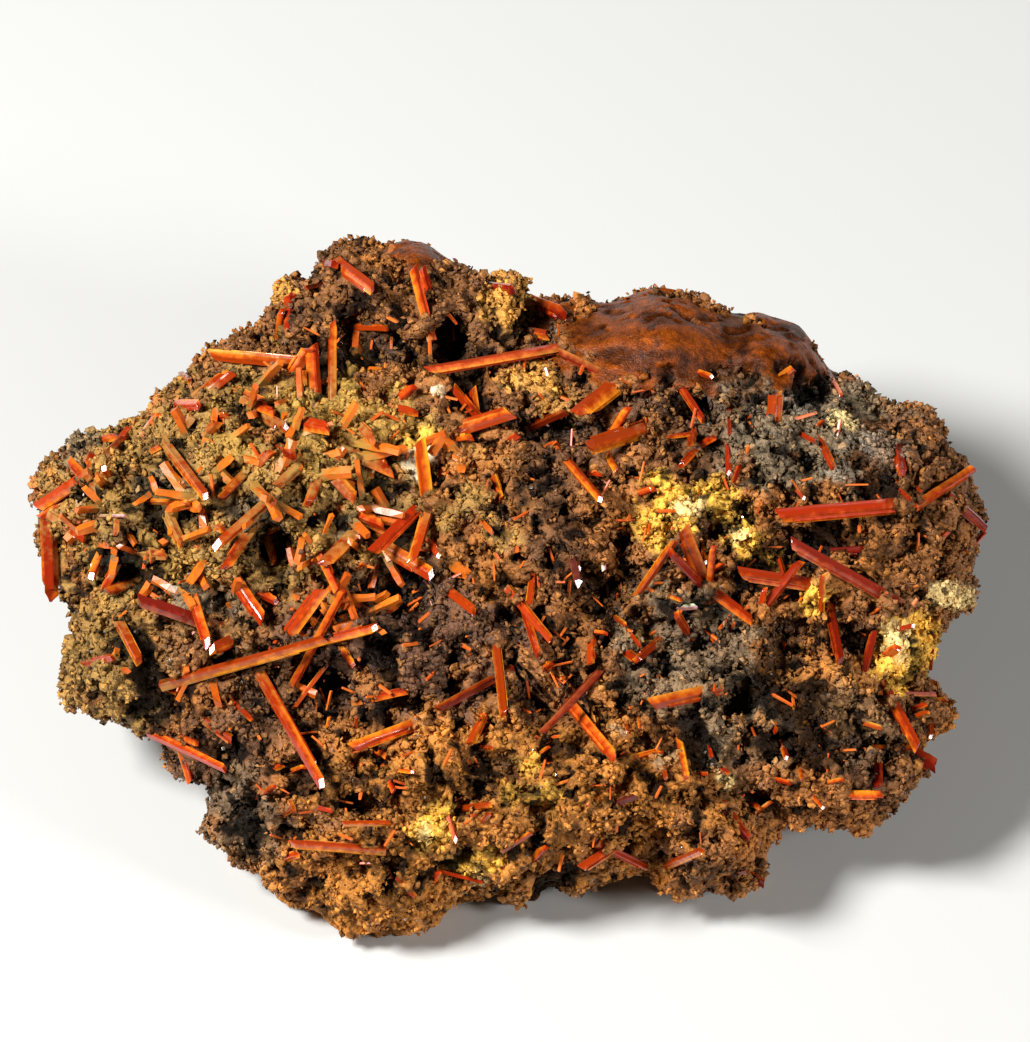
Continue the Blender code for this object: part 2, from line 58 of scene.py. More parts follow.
# %% Helpers for colours and nodes
def linear(hex_colour):
    """An sRGB hex colour as linear red, green, blue and alpha."""
    parts = [int(hex_colour[start:start + 2], 16) / 255 for start in (1, 3, 5)]
    return [part / 12.92 if part <= 0.04045 else ((part + 0.055) / 1.055) ** 2.4 for part in parts] + [1.0]


def add(tree, kind, settings=None, inputs=None, out=0):
    """Adds a node and returns one of its outputs. An input is a value, or an output to link to it."""
    node = tree.nodes.new(kind)
    for name, value in (settings or {}).items():
        setattr(node, name, value)
    for socket, value in (inputs or {}).items():
        if isinstance(value, bpy.types.NodeSocket):
            tree.links.new(value, node.inputs[socket])
        else:
            node.inputs[socket].default_value = value
    return node.outputs[out]


MATHS = "ShaderNodeMath"
VECTORS = "ShaderNodeVectorMath"
JOIN = "ShaderNodeCombineXYZ"
NOISE = "ShaderNodeTexNoise"
CELLS = "ShaderNodeTexVoronoi"
RANGE = "ShaderNodeMapRange"
MIX = "ShaderNodeMix"
STORED = "ShaderNodeAttribute"
BUMP = "ShaderNodeBump"
PLUS = {"operation": "ADD"}
MINUS = {"operation": "SUBTRACT"}
TIMES = {"operation": "MULTIPLY"}
OVER = {"operation": "DIVIDE"}
TIMES_PLUS = {"operation": "MULTIPLY_ADD"}
SCALED = {"operation": "SCALE"}
NUMBER = {"data_type": "FLOAT"}
COLOURS = {"data_type": "RGBA"}
HALVES = (0.5, 0.5, 0.5)

# %% Helpers for objects and meshes
def new_object(name, mesh):
    obj = bpy.data.objects.new(name, mesh)
    bpy.context.scene.collection.objects.link(obj)
    return obj


def plain_mesh(obj):
    """The object's mesh with its modifiers applied, after which the object is gone."""
    graph = bpy.context.evaluated_depsgraph_get()
    mesh = bpy.data.meshes.new_from_object(obj.evaluated_get(graph))
    bpy.data.objects.remove(obj)
    return mesh


def dress(piece, slot, *nodes):
    """Hangs a finished piece on the body, and hides the solids that it stands in for."""
    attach(piece, BODY)
    if nodes:
        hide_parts(*nodes)


# %% [markdown]
# ## Where things lie on the face
#
# Places on the leaning face are written in steps of a reference view of 1030 by 1042 steps, which looks
# down on the face at 50 degrees. One step is about 0.11 mm on the real specimen. The same outline, knolls
# and hollows that shape the solid give the fine surface, so the two can't drift apart.

# %% The face's own measures
WIDTH = 0.105
WIDTH_STEPS = 960
STEP = WIDTH / WIDTH_STEPS
FACE_LEAN = math.radians(50)
MIDDLE_STEPS = 510
FOOT_STEPS = 937
CENTRE_OF_FACE = (510, 590)
CENTRE_Y = 36.2 * MM
RIM_FALL = 18 * MM
RIM_FALL_HEIGHT = 0.076
RIM_FALL_POWER = 1.6
FRONT_SWELL = 14 * MM
FRONT_ROUND = 18 * MM
BACK_SWELL = 28 * MM
BACK_ROUND = 30 * MM
EDGE_FADE = 5 * MM
KNOB_HEIGHT = 1.1 * MM
KNOB_SPACING = 7 * MM
BACK_KNOB_HEIGHT = 2.0 * MM
BACK_KNOB_SPACING = 13 * MM
KNOB_OCTAVES = 3
KNOB_COARSENESS = 0.9
KNOB_REFINEMENT = 2.1
FRONT_LAYER = 0.5
BACK_LAYER = 7.5
TOWARDS_VIEWER = Vector((0, -math.cos(FACE_LEAN), math.sin(FACE_LEAN)))

# %% The outline, the knolls and the hollows
OUTLINE = [
    (33, 493), (37, 461), (59, 450), (95, 431), (128, 424), (150, 412), (160, 390), (180, 376),
    (206, 350), (220, 337), (237, 325), (256, 321), (270, 302), (279, 282), (291, 277), (309, 276),
    (312, 262), (322, 247), (340, 239), (364, 240), (386, 242), (406, 237), (426, 240), (441, 252),
    (456, 262), (472, 268), (491, 277), (508, 272), (520, 273), (528, 283), (535, 302), (548, 299),
    (564, 294), (592, 301), (612, 301), (628, 295), (646, 288), (662, 285), (683, 289), (704, 298),
    (734, 312), (757, 310), (776, 315), (796, 322), (808, 331), (820, 349), (830, 368), (852, 374),
    (867, 385), (892, 400), (904, 405), (918, 403), (931, 410), (942, 421), (949, 435), (955, 450),
    (968, 460), (970, 480), (982, 501), (991, 521), (981, 545), (978, 567), (971, 578), (977, 600),
    (951, 616), (938, 636), (934, 668), (925, 686), (948, 700), (963, 718), (942, 731), (922, 746),
    (938, 762), (930, 776), (912, 785), (907, 801), (888, 809), (877, 823), (860, 832), (842, 829),
    (822, 825), (800, 829), (778, 828), (770, 846), (766, 880), (746, 890), (722, 893), (700, 897),
    (682, 899), (664, 894), (656, 872), (648, 869), (627, 872), (612, 886), (580, 891), (552, 895),
    (538, 904), (514, 907), (494, 899), (474, 897), (452, 903), (440, 917), (430, 929), (404, 937),
    (388, 931), (370, 937), (346, 935), (330, 925), (320, 908), (290, 901), (267, 891), (255, 869),
    (230, 864), (224, 848), (200, 834), (196, 820), (212, 808), (206, 790), (180, 780), (168, 766),
    (158, 743), (128, 729), (116, 720), (96, 720), (84, 708), (66, 700), (60, 684), (61, 658),
    (73, 640), (70, 617), (58, 604), (44, 570), (36, 529),
]

# Middle, half width and half height in steps, and height in mm.
KNOLLS = [
    (215, 490, 175, 120, 4.5), (335, 285, 70, 50, 2.5), (470, 300, 75, 45, 2.0),
    (655, 335, 95, 48, 4.0), (780, 350, 62, 42, 2.5), (415, 256, 42, 22, 1.5),
    (800, 430, 110, 70, 3.5), (930, 475, 65, 85, 3.5), (905, 640, 48, 48, 2.0),
    (500, 810, 240, 80, 3.0), (372, 895, 75, 38, 1.5), (715, 860, 58, 40, 1.5),
    (860, 785, 80, 45, 1.5), (110, 655, 62, 62, 2.5), (250, 800, 70, 60, 2.0),
    (540, 520, 95, 95, 3.5), (410, 655, 80, 55, 2.0), (590, 790, 120, 60, 2.0),
    (700, 560, 60, 60, 1.5), (680, 700, 80, 40, 2.0), (430, 760, 70, 40, 1.5),
    (320, 770, 50, 40, 1.5), (850, 560, 70, 40, 1.5), (300, 430, 90, 50, 1.5),
]

# The same, with the depth in mm.
HOLLOWS = [
    (545, 694, 36, 30, 7.5), (392, 592, 62, 34, 4.5), (272, 545, 36, 30, 5.0),
    (390, 352, 48, 22, 4.5), (452, 338, 22, 38, 5.0), (335, 690, 30, 40, 4.0),
    (600, 592, 30, 32, 4.5), (782, 645, 30, 42, 5.5), (690, 408, 42, 22, 5.0),
    (556, 428, 56, 16, 4.5), (716, 528, 26, 16, 5.0), (790, 552, 48, 22, 5.0),
    (862, 642, 34, 22, 4.0), (862, 742, 42, 18, 4.0), (192, 516, 18, 15, 3.5),
    (505, 762, 30, 15, 3.0), (545, 325, 20, 28, 4.0), (366, 330, 30, 16, 4.0),
    (622, 540, 22, 22, 3.5), (352, 806, 26, 18, 3.5), (430, 800, 22, 12, 2.5),
    (700, 640, 30, 24, 3.5), (880, 770, 20, 22, 3.0), (300, 700, 18, 20, 2.5),
    (635, 580, 18, 22, 3.0), (650, 745, 30, 14, 2.5), (248, 690, 22, 18, 2.5),
    (730, 700, 28, 26, 3.0), (660, 850, 12, 18, 2.5), (470, 520, 18, 18, 2.5),
]

# %% From steps to metres and back
def place(x, y, out):
    """Points of the object at steps (x, y) of the view and out metres towards the viewer."""
    up = (FOOT_STEPS - np.asarray(y, float)) * STEP
    return np.stack(np.broadcast_arrays(
        (np.asarray(x, float) - MIDDLE_STEPS) * STEP,
        up * math.sin(FACE_LEAN) - out * math.cos(FACE_LEAN) - CENTRE_Y,
        up * math.cos(FACE_LEAN) + out * math.sin(FACE_LEAN),
    ), axis=-1)


def steps_of(points):
    """The steps (x, y) and the distance towards the viewer of points in metres."""
    depth = points[:, 1] + CENTRE_Y
    up = depth * math.sin(FACE_LEAN) + points[:, 2] * math.cos(FACE_LEAN)
    out = points[:, 2] * math.sin(FACE_LEAN) - depth * math.cos(FACE_LEAN)
    return MIDDLE_STEPS + points[:, 0] / STEP, FOOT_STEPS - up / STEP, out


# %% The rim, and rounded forms
def dome(share):
    """The height of a quarter circle at a share of its radius in from the rim."""
    left = 1 - np.clip(share, 0, 1)
    return np.sqrt(np.maximum(0, 1 - left * left))


def rim_reach(angle):
    """How far the outline lies from the centre of the face, in steps, in the direction of angle."""
    corners = np.array(OUTLINE, float) - CENTRE_OF_FACE
    way = np.array((math.cos(angle), math.sin(angle)))
    side = corners @ np.array((-way[1], way[0]))
    along = corners @ way
    next_side, next_along = np.roll(side, -1), np.roll(along, -1)
    crosses = (side > 0) != (next_side > 0)
    share = side[crosses] / (side[crosses] - next_side[crosses])
    return float(np.max(along[crosses] + share * (next_along[crosses] - along[crosses])))


def rim_distance(x, y):
    """How far points of the view lie inside the outline, in metres, and 0 outside it."""
    x, y = np.atleast_1d(np.asarray(x, float)), np.atleast_1d(np.asarray(y, float))
    starts = np.array(OUTLINE, float)
    runs = np.roll(starts, -1, axis=0) - starts
    nearest = np.full(x.shape, np.inf)
    inside = np.zeros(x.shape, bool)
    for (start_x, start_y), (run_x, run_y) in zip(starts, runs):
        to_x, to_y = x - start_x, y - start_y
        share = np.clip((to_x * run_x + to_y * run_y) / (run_x ** 2 + run_y ** 2), 0, 1)
        nearest = np.minimum(nearest, np.hypot(to_x - share * run_x, to_y - share * run_y))
        if run_y:
            inside ^= ((start_y > y) != (start_y + run_y > y)) & (x < start_x + to_y * run_x / run_y)
    return np.where(inside, nearest, 0) * STEP


def mound(x, y, forms):
    """The summed height, in metres, of rounded forms at steps (x, y)."""
    total = np.zeros(np.shape(x))
    for middle_x, middle_y, half_width, half_height, height in forms:
        share = ((x - middle_x) / half_width) ** 2 + ((y - middle_y) / half_height) ** 2
        total += height * MM * np.maximum(0, 1 - share) ** 1.5
    return total


def knobs(x, y, spacing, layer):
    """Broken knobs of about unit height, the same on every call."""
    scale = STEP / spacing
    return np.array([
        noise.fractal(Vector((a * scale, b * scale, layer)), KNOB_COARSENESS, KNOB_REFINEMENT, KNOB_OCTAVES)
        for a, b in zip(np.ravel(x), np.ravel(y))
    ])


# %% The lump's two sheets
def rim_out(y):
    """How far towards the viewer the rim stands at row y."""
    up = np.maximum(0, (FOOT_STEPS - y) * STEP)
    return -RIM_FALL * (up / RIM_FALL_HEIGHT) ** RIM_FALL_POWER


def front_out(x, y):
    """How far towards the viewer the lump's leaning face stands at steps (x, y)."""
    x, y = np.atleast_1d(np.asarray(x, float)), np.atleast_1d(np.asarray(y, float))
    inside = rim_distance(x, y)
    broken = KNOB_HEIGHT * knobs(x, y, KNOB_SPACING, FRONT_LAYER)
    relief = mound(x, y, KNOLLS) - mound(x, y, HOLLOWS) + broken
    return rim_out(y) + FRONT_SWELL * dome(inside / FRONT_ROUND) + relief * dome(inside / EDGE_FADE)


def back_out(x, y):
    """The same for the lump's back and underside."""
    inside = rim_distance(x, y)
    relief = BACK_KNOB_HEIGHT * knobs(x, y, BACK_KNOB_SPACING, BACK_LAYER)
    return rim_out(y) - BACK_SWELL * dome(inside / BACK_ROUND) + relief * dome(inside / EDGE_FADE)


# %% [markdown]
# ## The limonite's surface
#
# The rock could be sculpted by hand, but then its form would leave the solid's. Instead two sheets of
# rings are filled from the same rules as the solid, cut flat at the floor, and remeshed into even squares
# of less than half a millimetre. Geometry Nodes then raise rounded clods and knobs and sink pits, which is
# how this porous rust looks: bubbles of many sizes grown over each other.

# %% A smooth lump from two sheets of rings
SPOKES = 260
RINGS = 64


def lump_mesh():
    """The lump's front and back as two sheets of rings that share their rim."""
    angles = [2 * math.pi * spoke / SPOKES for spoke in range(SPOKES)]
    reach = np.array([rim_reach(angle) for angle in angles])
    shares = np.sin(np.pi / 2 * np.arange(1, RINGS) / RINGS)
    x = CENTRE_OF_FACE[0] + shares[:, None] * reach * np.cos(angles)
    y = CENTRE_OF_FACE[1] + shares[:, None] * reach * np.sin(angles)
    rim_x = CENTRE_OF_FACE[0] + reach * np.cos(angles)
    rim_y = CENTRE_OF_FACE[1] + reach * np.sin(angles)
    points, faces = [place(rim_x, rim_y, rim_out(rim_y))], []
    after = [(spoke + 1) % SPOKES for spoke in range(SPOKES)]
    first = SPOKES
    for height, turned in ((front_out, False), (back_out, True)):
        out = height(x.ravel(), y.ravel())
        middle_x, middle_y = (np.array([value]) for value in CENTRE_OF_FACE)
        points += [place(x.ravel(), y.ravel(), out), place(middle_x, middle_y, height(middle_x, middle_y))]
        middle = first + x.size
        starts = [first + ring * SPOKES for ring in range(RINGS - 1)] + [0]
        sheet = [(middle, first + after[spoke], first + spoke) for spoke in range(SPOKES)]
        for inner, outer in zip(starts, starts[1:]):
            sheet += [
                (inner + spoke, inner + after[spoke], outer + after[spoke], outer + spoke)
                for spoke in range(SPOKES)
            ]
        faces += [face[::-1] for face in sheet] if turned else sheet
        first = middle + 1
    mesh = bpy.data.meshes.new("lump")
    mesh.from_pydata(np.concatenate(points).tolist(), [], faces)
    return mesh


# %% The base, and an even mesh
GRID = 0.42 * MM


def cut_flat_base(mesh):
    """Breaks the lump off flat where it rests, at height 0, and turns its faces outwards."""
    work = bmesh.new()
    work.from_mesh(mesh)
    parts = work.verts[:] + work.edges[:] + work.faces[:]
    bmesh.ops.bisect_plane(work, geom=parts, plane_co=(0, 0, 0), plane_no=(0, 0, 1), clear_inner=True)
    bmesh.ops.holes_fill(work, edges=[edge for edge in work.edges if edge.is_boundary])
    bmesh.ops.recalc_face_normals(work, faces=work.faces)
    work.to_mesh(mesh)
    work.free()
    return mesh


rock = new_object("limonite_rock", cut_flat_base(lump_mesh()))
remesh = rock.modifiers.new("even squares", "REMESH")
remesh.mode = "VOXEL"
remesh.voxel_size = GRID
rock = new_object("limonite_rock", plain_mesh(rock))
print("rock faces:", len(rock.data.polygons))

# %% [markdown]
# The face isn't the same all over. Smooth glossy caps lie along the top, a tan crust coats the left, and
# yellow ochre fills some hollows. The colours could be painted by hand, but a list of soft ellipses with
# edges frayed by noise is easier to change. It gives every point of the rock its colour and how rough it
# is there, which the grains then share.

# %% Colours of the limonite
BROWN = "#a86728"
UMBER = "#744a26"
# Dark umber is the rock's own colour, and under the cap it is painted shade.
DARK_UMBER_AND_SHADE = "#613f28"
TAN_CRUST = "#9a7636"
OLIVE_CRUST = "#a67f34"
GREY = "#7a684e"
SLATE = "#9a8c78"
YELLOW_OCHRE = "#f6bc42"
DULL_OCHRE = "#d89a40"
CREAM = "#fbdc94"
# White crust, also used for one painted white glint.
WHITE_CRUST_AND_GLINT = "#dccba4"
RUST = "#b87426"
CAP_BROWN = "#883e04"
CAP_DARK = "#3a1a06"

# %% Patches of the face
# Colour, middle, half width and half height in steps, strength, and roughness of the relief there.
PATCHES = [
    (UMBER, 330, 300, 120, 60, 0.6, 1.0),
    (TAN_CRUST, 240, 505, 215, 122, 0.85, 0.9),
    (TAN_CRUST, 110, 655, 62, 75, 0.8, 0.9),
    (OLIVE_CRUST, 330, 425, 90, 45, 0.8, 0.6),
    (UMBER, 230, 640, 80, 60, 0.7, 1.1),
    (OLIVE_CRUST, 345, 398, 24, 14, 0.9, 0.5),
    (OLIVE_CRUST, 236, 448, 34, 18, 0.8, 0.6),
    (OLIVE_CRUST, 176, 560, 30, 24, 0.7, 0.7),
    (OLIVE_CRUST, 300, 560, 26, 18, 0.7, 0.7),
    (GREY, 160, 480, 26, 14, 0.8, 1.0),
    (GREY, 262, 512, 30, 16, 0.8, 1.1),
    (GREY, 120, 560, 20, 26, 0.7, 1.0),
    (GREY, 205, 600, 34, 14, 0.8, 1.1),
    (GREY, 360, 530, 30, 22, 0.7, 1.1),
    (GREY, 75, 450, 18, 20, 0.7, 1.0),
    (RUST, 480, 830, 200, 110, 0.8, 1.0),
    (RUST, 640, 770, 120, 60, 0.6, 1.0),
    (RUST, 800, 700, 110, 45, 0.6, 1.0),
    (RUST, 380, 905, 90, 40, 0.9, 0.8),
    (DARK_UMBER_AND_SHADE, 400, 630, 105, 72, 0.95, 1.2),
    (DARK_UMBER_AND_SHADE, 520, 320, 60, 50, 0.4, 1.0),
    (DARK_UMBER_AND_SHADE, 225, 770, 60, 60, 0.6, 1.0),
    (GREY, 805, 425, 100, 62, 0.95, 0.9),
    (GREY, 690, 660, 60, 85, 0.8, 1.0),
    (GREY, 240, 815, 50, 40, 0.6, 1.0),
    (GREY, 850, 720, 60, 36, 0.5, 1.0),
    (GREY, 745, 745, 46, 30, 0.5, 1.0),
    (SLATE, 800, 400, 20, 12, 0.8, 0.8),
    (SLATE, 872, 446, 26, 14, 0.9, 0.6),
    (SLATE, 846, 474, 24, 8, 0.8, 0.6),
    (UMBER, 930, 460, 60, 70, 0.6, 0.9),
    (UMBER, 640, 430, 70, 50, 0.6, 1.0),
    # These two are painted shade under the cap.
    (DARK_UMBER_AND_SHADE, 622, 404, 62, 15, 0.9, 1.2),
    (DARK_UMBER_AND_SHADE, 590, 440, 40, 22, 0.6, 1.2),
    (DULL_OCHRE, 505, 300, 30, 34, 0.85, 0.9),
    (DULL_OCHRE, 532, 377, 26, 18, 0.8, 0.9),
    (YELLOW_OCHRE, 672, 505, 34, 26, 1.0, 0.9),
    (YELLOW_OCHRE, 712, 500, 26, 20, 1.0, 0.9),
    (YELLOW_OCHRE, 742, 530, 20, 22, 1.0, 0.9),
    (YELLOW_OCHRE, 775, 558, 26, 10, 0.8, 0.9),
    (YELLOW_OCHRE, 655, 535, 16, 16, 0.8, 0.9),
    (YELLOW_OCHRE, 665, 482, 14, 12, 0.9, 0.9),
    (CREAM, 690, 508, 20, 10, 0.8, 0.7),
    (CREAM, 738, 535, 10, 8, 0.7, 0.7),
    (CREAM, 846, 422, 14, 8, 0.9, 0.5),
    (YELLOW_OCHRE, 903, 655, 26, 36, 0.9, 0.9),
    (YELLOW_OCHRE, 925, 625, 18, 16, 0.7, 0.9),
    (YELLOW_OCHRE, 812, 598, 16, 16, 0.8, 0.9),
    (CREAM, 898, 640, 12, 18, 0.8, 0.7),
    (CREAM, 950, 596, 18, 12, 0.8, 0.7),
    (YELLOW_OCHRE, 432, 825, 18, 26, 0.85, 0.9),
    (YELLOW_OCHRE, 470, 862, 26, 14, 0.8, 0.9),
    (CREAM, 428, 830, 8, 10, 0.6, 0.7),
    (CREAM, 478, 875, 10, 6, 0.6, 0.7),
    (YELLOW_OCHRE, 533, 795, 26, 12, 0.6, 0.9),
    (CREAM, 726, 779, 8, 10, 0.8, 0.6),
    (YELLOW_OCHRE, 528, 765, 14, 8, 0.8, 0.8),
    (YELLOW_OCHRE, 648, 637, 9, 8, 1.0, 0.4),
    (DULL_OCHRE, 280, 290, 14, 16, 0.8, 0.8),
    (DULL_OCHRE, 560, 405, 30, 12, 0.5, 0.8),
    (CAP_BROWN, 650, 333, 96, 46, 1.0, 0.0),
    (CAP_BROWN, 782, 345, 56, 38, 1.0, 0.1),
    (CAP_BROWN, 418, 250, 32, 14, 1.0, 0.1),
    (CAP_DARK, 738, 325, 14, 30, 0.8, 0.2),
    (CAP_DARK, 700, 372, 44, 10, 0.6, 0.4),
    (CAP_DARK, 585, 330, 22, 12, 0.6, 0.2),
    (CAP_DARK, 640, 355, 46, 7, 0.7, 0.2),
    (CAP_DARK, 675, 318, 34, 7, 0.7, 0.2),
    (CAP_DARK, 615, 308, 16, 6, 0.6, 0.2),
    (CAP_DARK, 790, 330, 30, 7, 0.7, 0.2),
    (CAP_DARK, 770, 362, 34, 10, 0.6, 0.4),
    (YELLOW_OCHRE, 416, 445, 18, 14, 0.8, 0.5),
    (WHITE_CRUST_AND_GLINT, 409, 458, 8, 12, 1.0, 0.3),
    (WHITE_CRUST_AND_GLINT, 432, 452, 6, 8, 1.0, 0.3),
    (WHITE_CRUST_AND_GLINT, 418, 472, 6, 7, 1.0, 0.3),
    # A painted highlight: a small white glint.
    (WHITE_CRUST_AND_GLINT, 439, 389, 5, 5, 1.0, 0.2),
]

# %% What a patch does to each point
FRAY = 0.85
FRAY_SPACING = 3.4 * MM
PATCH_EDGE = 0.30
BROAD_SPACING = 9 * MM
BROAD_CONTRAST = 1.1
# Each noise is read at its own level, so that they don't look alike.
FRAY_LEVEL = 3.0
FINE_FRAY_LEVEL = 8.0
BROAD_LEVEL = 5.0
# Painted shade in the hollows: the depth at which it is full, and how dark it makes them.
HOLLOW_SHADE_DEPTH = 3.0 * MM
HOLLOW_PAINTED_SHADE = 0.75
BEHIND_RIM = 6 * MM
RIM_FADE = 4 * MM


def patch_weight(x, y, frayed, patch):
    """How much of a patch lies at steps (x, y): 1 in its middle, 0 outside, with a frayed edge."""
    _, middle_x, middle_y, half_width, half_height, strength, _ = patch
    share = np.hypot((x - middle_x) / half_width, (y - middle_y) / half_height)
    inward = (1 - share + FRAY * frayed) / PATCH_EDGE
    ease = np.clip(inward + 0.5, 0, 1)
    return strength * ease * ease * (3 - 2 * ease)


def front_share(points):
    """1 on the leaning face, falling to 0 a little way behind the lump's rim."""
    _, y, out = steps_of(points)
    return np.clip((out - rim_out(y) + BEHIND_RIM) / RIM_FADE, 0, 1)


def fray_noise(points, spacing, level):
    """A number of about -0.5 to 0.5 at each point, from a noise of the given spacing."""
    scale = 1 / spacing
    return np.array([noise.noise(Vector(point) * scale + Vector((0, 0, level))) for point in points])


def patched(points):
    """Each point's colour, with painted shade in the hollows, the relief's roughness and the gloss."""
    x, y, _ = steps_of(points)
    front = front_share(points)
    frayed = fray_noise(points, FRAY_SPACING, FRAY_LEVEL)
    frayed = frayed + 0.5 * fray_noise(points, FRAY_SPACING / 3, FINE_FRAY_LEVEL)
    broad = np.clip(0.5 + BROAD_CONTRAST * fray_noise(points, BROAD_SPACING, BROAD_LEVEL), 0, 1)[:, None]
    dark, mid = np.array(linear(UMBER)[:3]), np.array(linear(BROWN)[:3])
    colour = dark + (mid - dark) * broad
    rough = np.ones(len(points))
    gloss = np.zeros(len(points))
    for patch in PATCHES:
        weight = patch_weight(x, y, frayed, patch) * front
        colour += (np.array(linear(patch[0])[:3]) - colour) * weight[:, None]
        rough += (patch[-1] - rough) * weight
        gloss += (float(patch[0] in (CAP_BROWN, CAP_DARK)) - gloss) * weight
    # Painted shade: the colour is darkened in the hollows, as shade falls there.
    sunk = np.clip(mound(x, y, HOLLOWS) / HOLLOW_SHADE_DEPTH, 0, 1) * front
    return colour * (1 - HOLLOW_PAINTED_SHADE * sunk)[:, None], rough, gloss


# %% Numbers in and out of a mesh
def write_numbers(mesh, name, values):
    """Stores a number at each point, in a new attribute or in the one that has the name."""
    kept = mesh.attributes.get(name) or mesh.attributes.new(name, "FLOAT", "POINT")
    kept.data.foreach_set("value", np.asarray(values, np.float32))


def write_colours(mesh, name, colours):
    rgba = np.ones((len(colours), 4), np.float32)
    rgba[:, :3] = colours
    mesh.attributes.new(name, "FLOAT_COLOR", "POINT").data.foreach_set("color", rgba.ravel())


def read_vectors(mesh, what):
    """The place (co) or the normal of each point of the mesh."""
    vectors = np.empty(len(mesh.vertices) * 3)
    mesh.vertices.foreach_get(what, vectors)
    return vectors.reshape(-1, 3)


def weighted_area(mesh, weights):
    """The mesh's area in square metres, counted by the weight at its points."""
    areas = np.empty(len(mesh.polygons))
    mesh.polygons.foreach_get("area", areas)
    sizes = np.empty(len(mesh.polygons), np.int32)
    mesh.polygons.foreach_get("loop_total", sizes)
    corners = np.empty(len(mesh.loops), np.int32)
    mesh.loops.foreach_get("vertex_index", corners)
    owner = np.repeat(np.arange(len(sizes)), sizes)
    means = np.bincount(owner, weights[corners], len(sizes)) / sizes
    return float((areas * means).sum())


_, rough, gloss = patched(read_vectors(rock.data, "co"))
write_numbers(rock.data, "rough", rough)
write_numbers(rock.data, "gloss", gloss)

# %% [markdown]
# The relief itself is a Geometry Nodes tree. Displace modifiers could move the points too, but each takes
# one texture only, while here the sizes are named inputs and the layers add up. Three layers of Voronoi
# cells make clods, knobs and beads: the distance to the nearest cell centre is a field of rounded bumps
# with sharp creases. Two noises sink pits and caves between them.

# %% Sizes of the relief
RELIEF = {
    "Clod size": 5.2 * MM,
    "Clod rise": 1.7 * MM,
    "Knob size": 2.1 * MM,
    "Knob rise": 1.1 * MM,
    "Bead size": 1.0 * MM,
    "Bead rise": 0.4 * MM,
    "Pit spacing": 2.3 * MM,
    "Pit depth": 2.0 * MM,
    "Cave spacing": 9.0 * MM,
    "Cave depth": 1.5 * MM,
    "Waver": 0.9 * MM,
}
# The cells' sides would be straight, so a coarse noise first pushes them out of line.
WAVERS_PER_METRE = 420.0
# The distance to a cell's centre, in cells, at which the ground is neither raised nor sunk.
LEVEL_GROUND = 0.45
PIT_NOISE = {"From Min": 0.53, "From Max": 0.60}
CAVE_NOISE = {"From Min": 0.56, "From Max": 0.68}
READ = "GeometryNodeInputNamedAttribute"
STORE = "GeometryNodeStoreNamedAttribute"
POSITION = "GeometryNodeInputPosition"
MOVE = "GeometryNodeSetPosition"
POINT_NUMBER = {"data_type": "FLOAT", "domain": "POINT"}


def new_tree(name, sizes):
    """A Geometry Nodes tree with a geometry socket at each end and a named input for each size."""
    tree = bpy.data.node_groups.new(name, "GeometryNodeTree")
    tree.interface.new_socket("Geometry", in_out="INPUT", socket_type="NodeSocketGeometry")
    tree.interface.new_socket("Geometry", in_out="OUTPUT", socket_type="NodeSocketGeometry")
    for size in sizes:
        tree.interface.new_socket(size, in_out="INPUT", socket_type="NodeSocketFloat")
    return tree, tree.nodes.new("NodeGroupInput").outputs, tree.nodes.new("NodeGroupOutput").inputs


def run_tree(obj, tree, sizes):
    """Runs the tree on the object, with its sizes set by identifier. Returns the result as a plain mesh."""
    modifier = obj.modifiers.new(tree.name, "NODES")
    modifier.node_group = tree
    for item in tree.interface.items_tree:
        if item.in_out == "INPUT" and item.name in sizes:
            modifier[item.identifier] = sizes[item.name]
    return plain_mesh(obj)


# %% The relief tree
def relief_tree():
    """Raises clods, knobs and beads on the lump and sinks pits and caves, and stores each point's height."""
    tree, given, result = new_tree("limonite relief", RELIEF)
    position = add(tree, POSITION)
    wave = add(tree, NOISE, None, {"Vector": position, "Scale": WAVERS_PER_METRE, "Detail": 2.0}, "Color")
    centred = add(tree, VECTORS, MINUS, {0: wave, 1: HALVES})
    waved = add(tree, VECTORS, TIMES_PLUS, {0: centred, 1: given["Waver"], 2: position})
    raised = 0.0
    for form in ("Clod", "Knob", "Bead"):
        scale = add(tree, MATHS, OVER, {0: 1.0, 1: given[form + " size"]})
        apart = add(tree, CELLS, {"feature": "F1"}, {"Vector": waved, "Scale": scale}, "Distance")
        over_ground = add(tree, MATHS, MINUS, {0: LEVEL_GROUND, 1: apart})
        bump = add(tree, MATHS, TIMES, {0: over_ground, 1: given[form + " rise"]})
        raised = add(tree, MATHS, PLUS, {0: raised, 1: bump})
    sunk = 0.0
    for form, limits in (("Pit", PIT_NOISE), ("Cave", CAVE_NOISE)):
        scale = add(tree, MATHS, OVER, {0: 1.0, 1: given[form + " spacing"]})
        field = add(tree, NOISE, None, {"Vector": waved, "Scale": scale, "Detail": 1.5}, "Fac")
        share = add(tree, RANGE, {"interpolation_type": "SMOOTHSTEP"}, {"Value": field, **limits})
        hole = add(tree, MATHS, TIMES, {0: share, 1: given[form + " depth"]})
        sunk = add(tree, MATHS, PLUS, {0: sunk, 1: hole})
    relief = add(tree, MATHS, MINUS, {0: raised, 1: sunk})
    height = add(tree, MATHS, TIMES, {0: relief, 1: add(tree, READ, NUMBER, {"Name": "rough"})})
    offset = add(tree, VECTORS, SCALED, {0: add(tree, "GeometryNodeInputNormal"), "Scale": height})
    moved = add(tree, MOVE, None, {"Geometry": given["Geometry"], "Offset": offset})
    kept = add(tree, STORE, POINT_NUMBER, {"Geometry": moved, "Name": "height", "Value": height})
    tree.links.new(kept, result[0])
    return tree


rock = new_object("limonite_rock", run_tree(rock, relief_tree(), RELIEF))

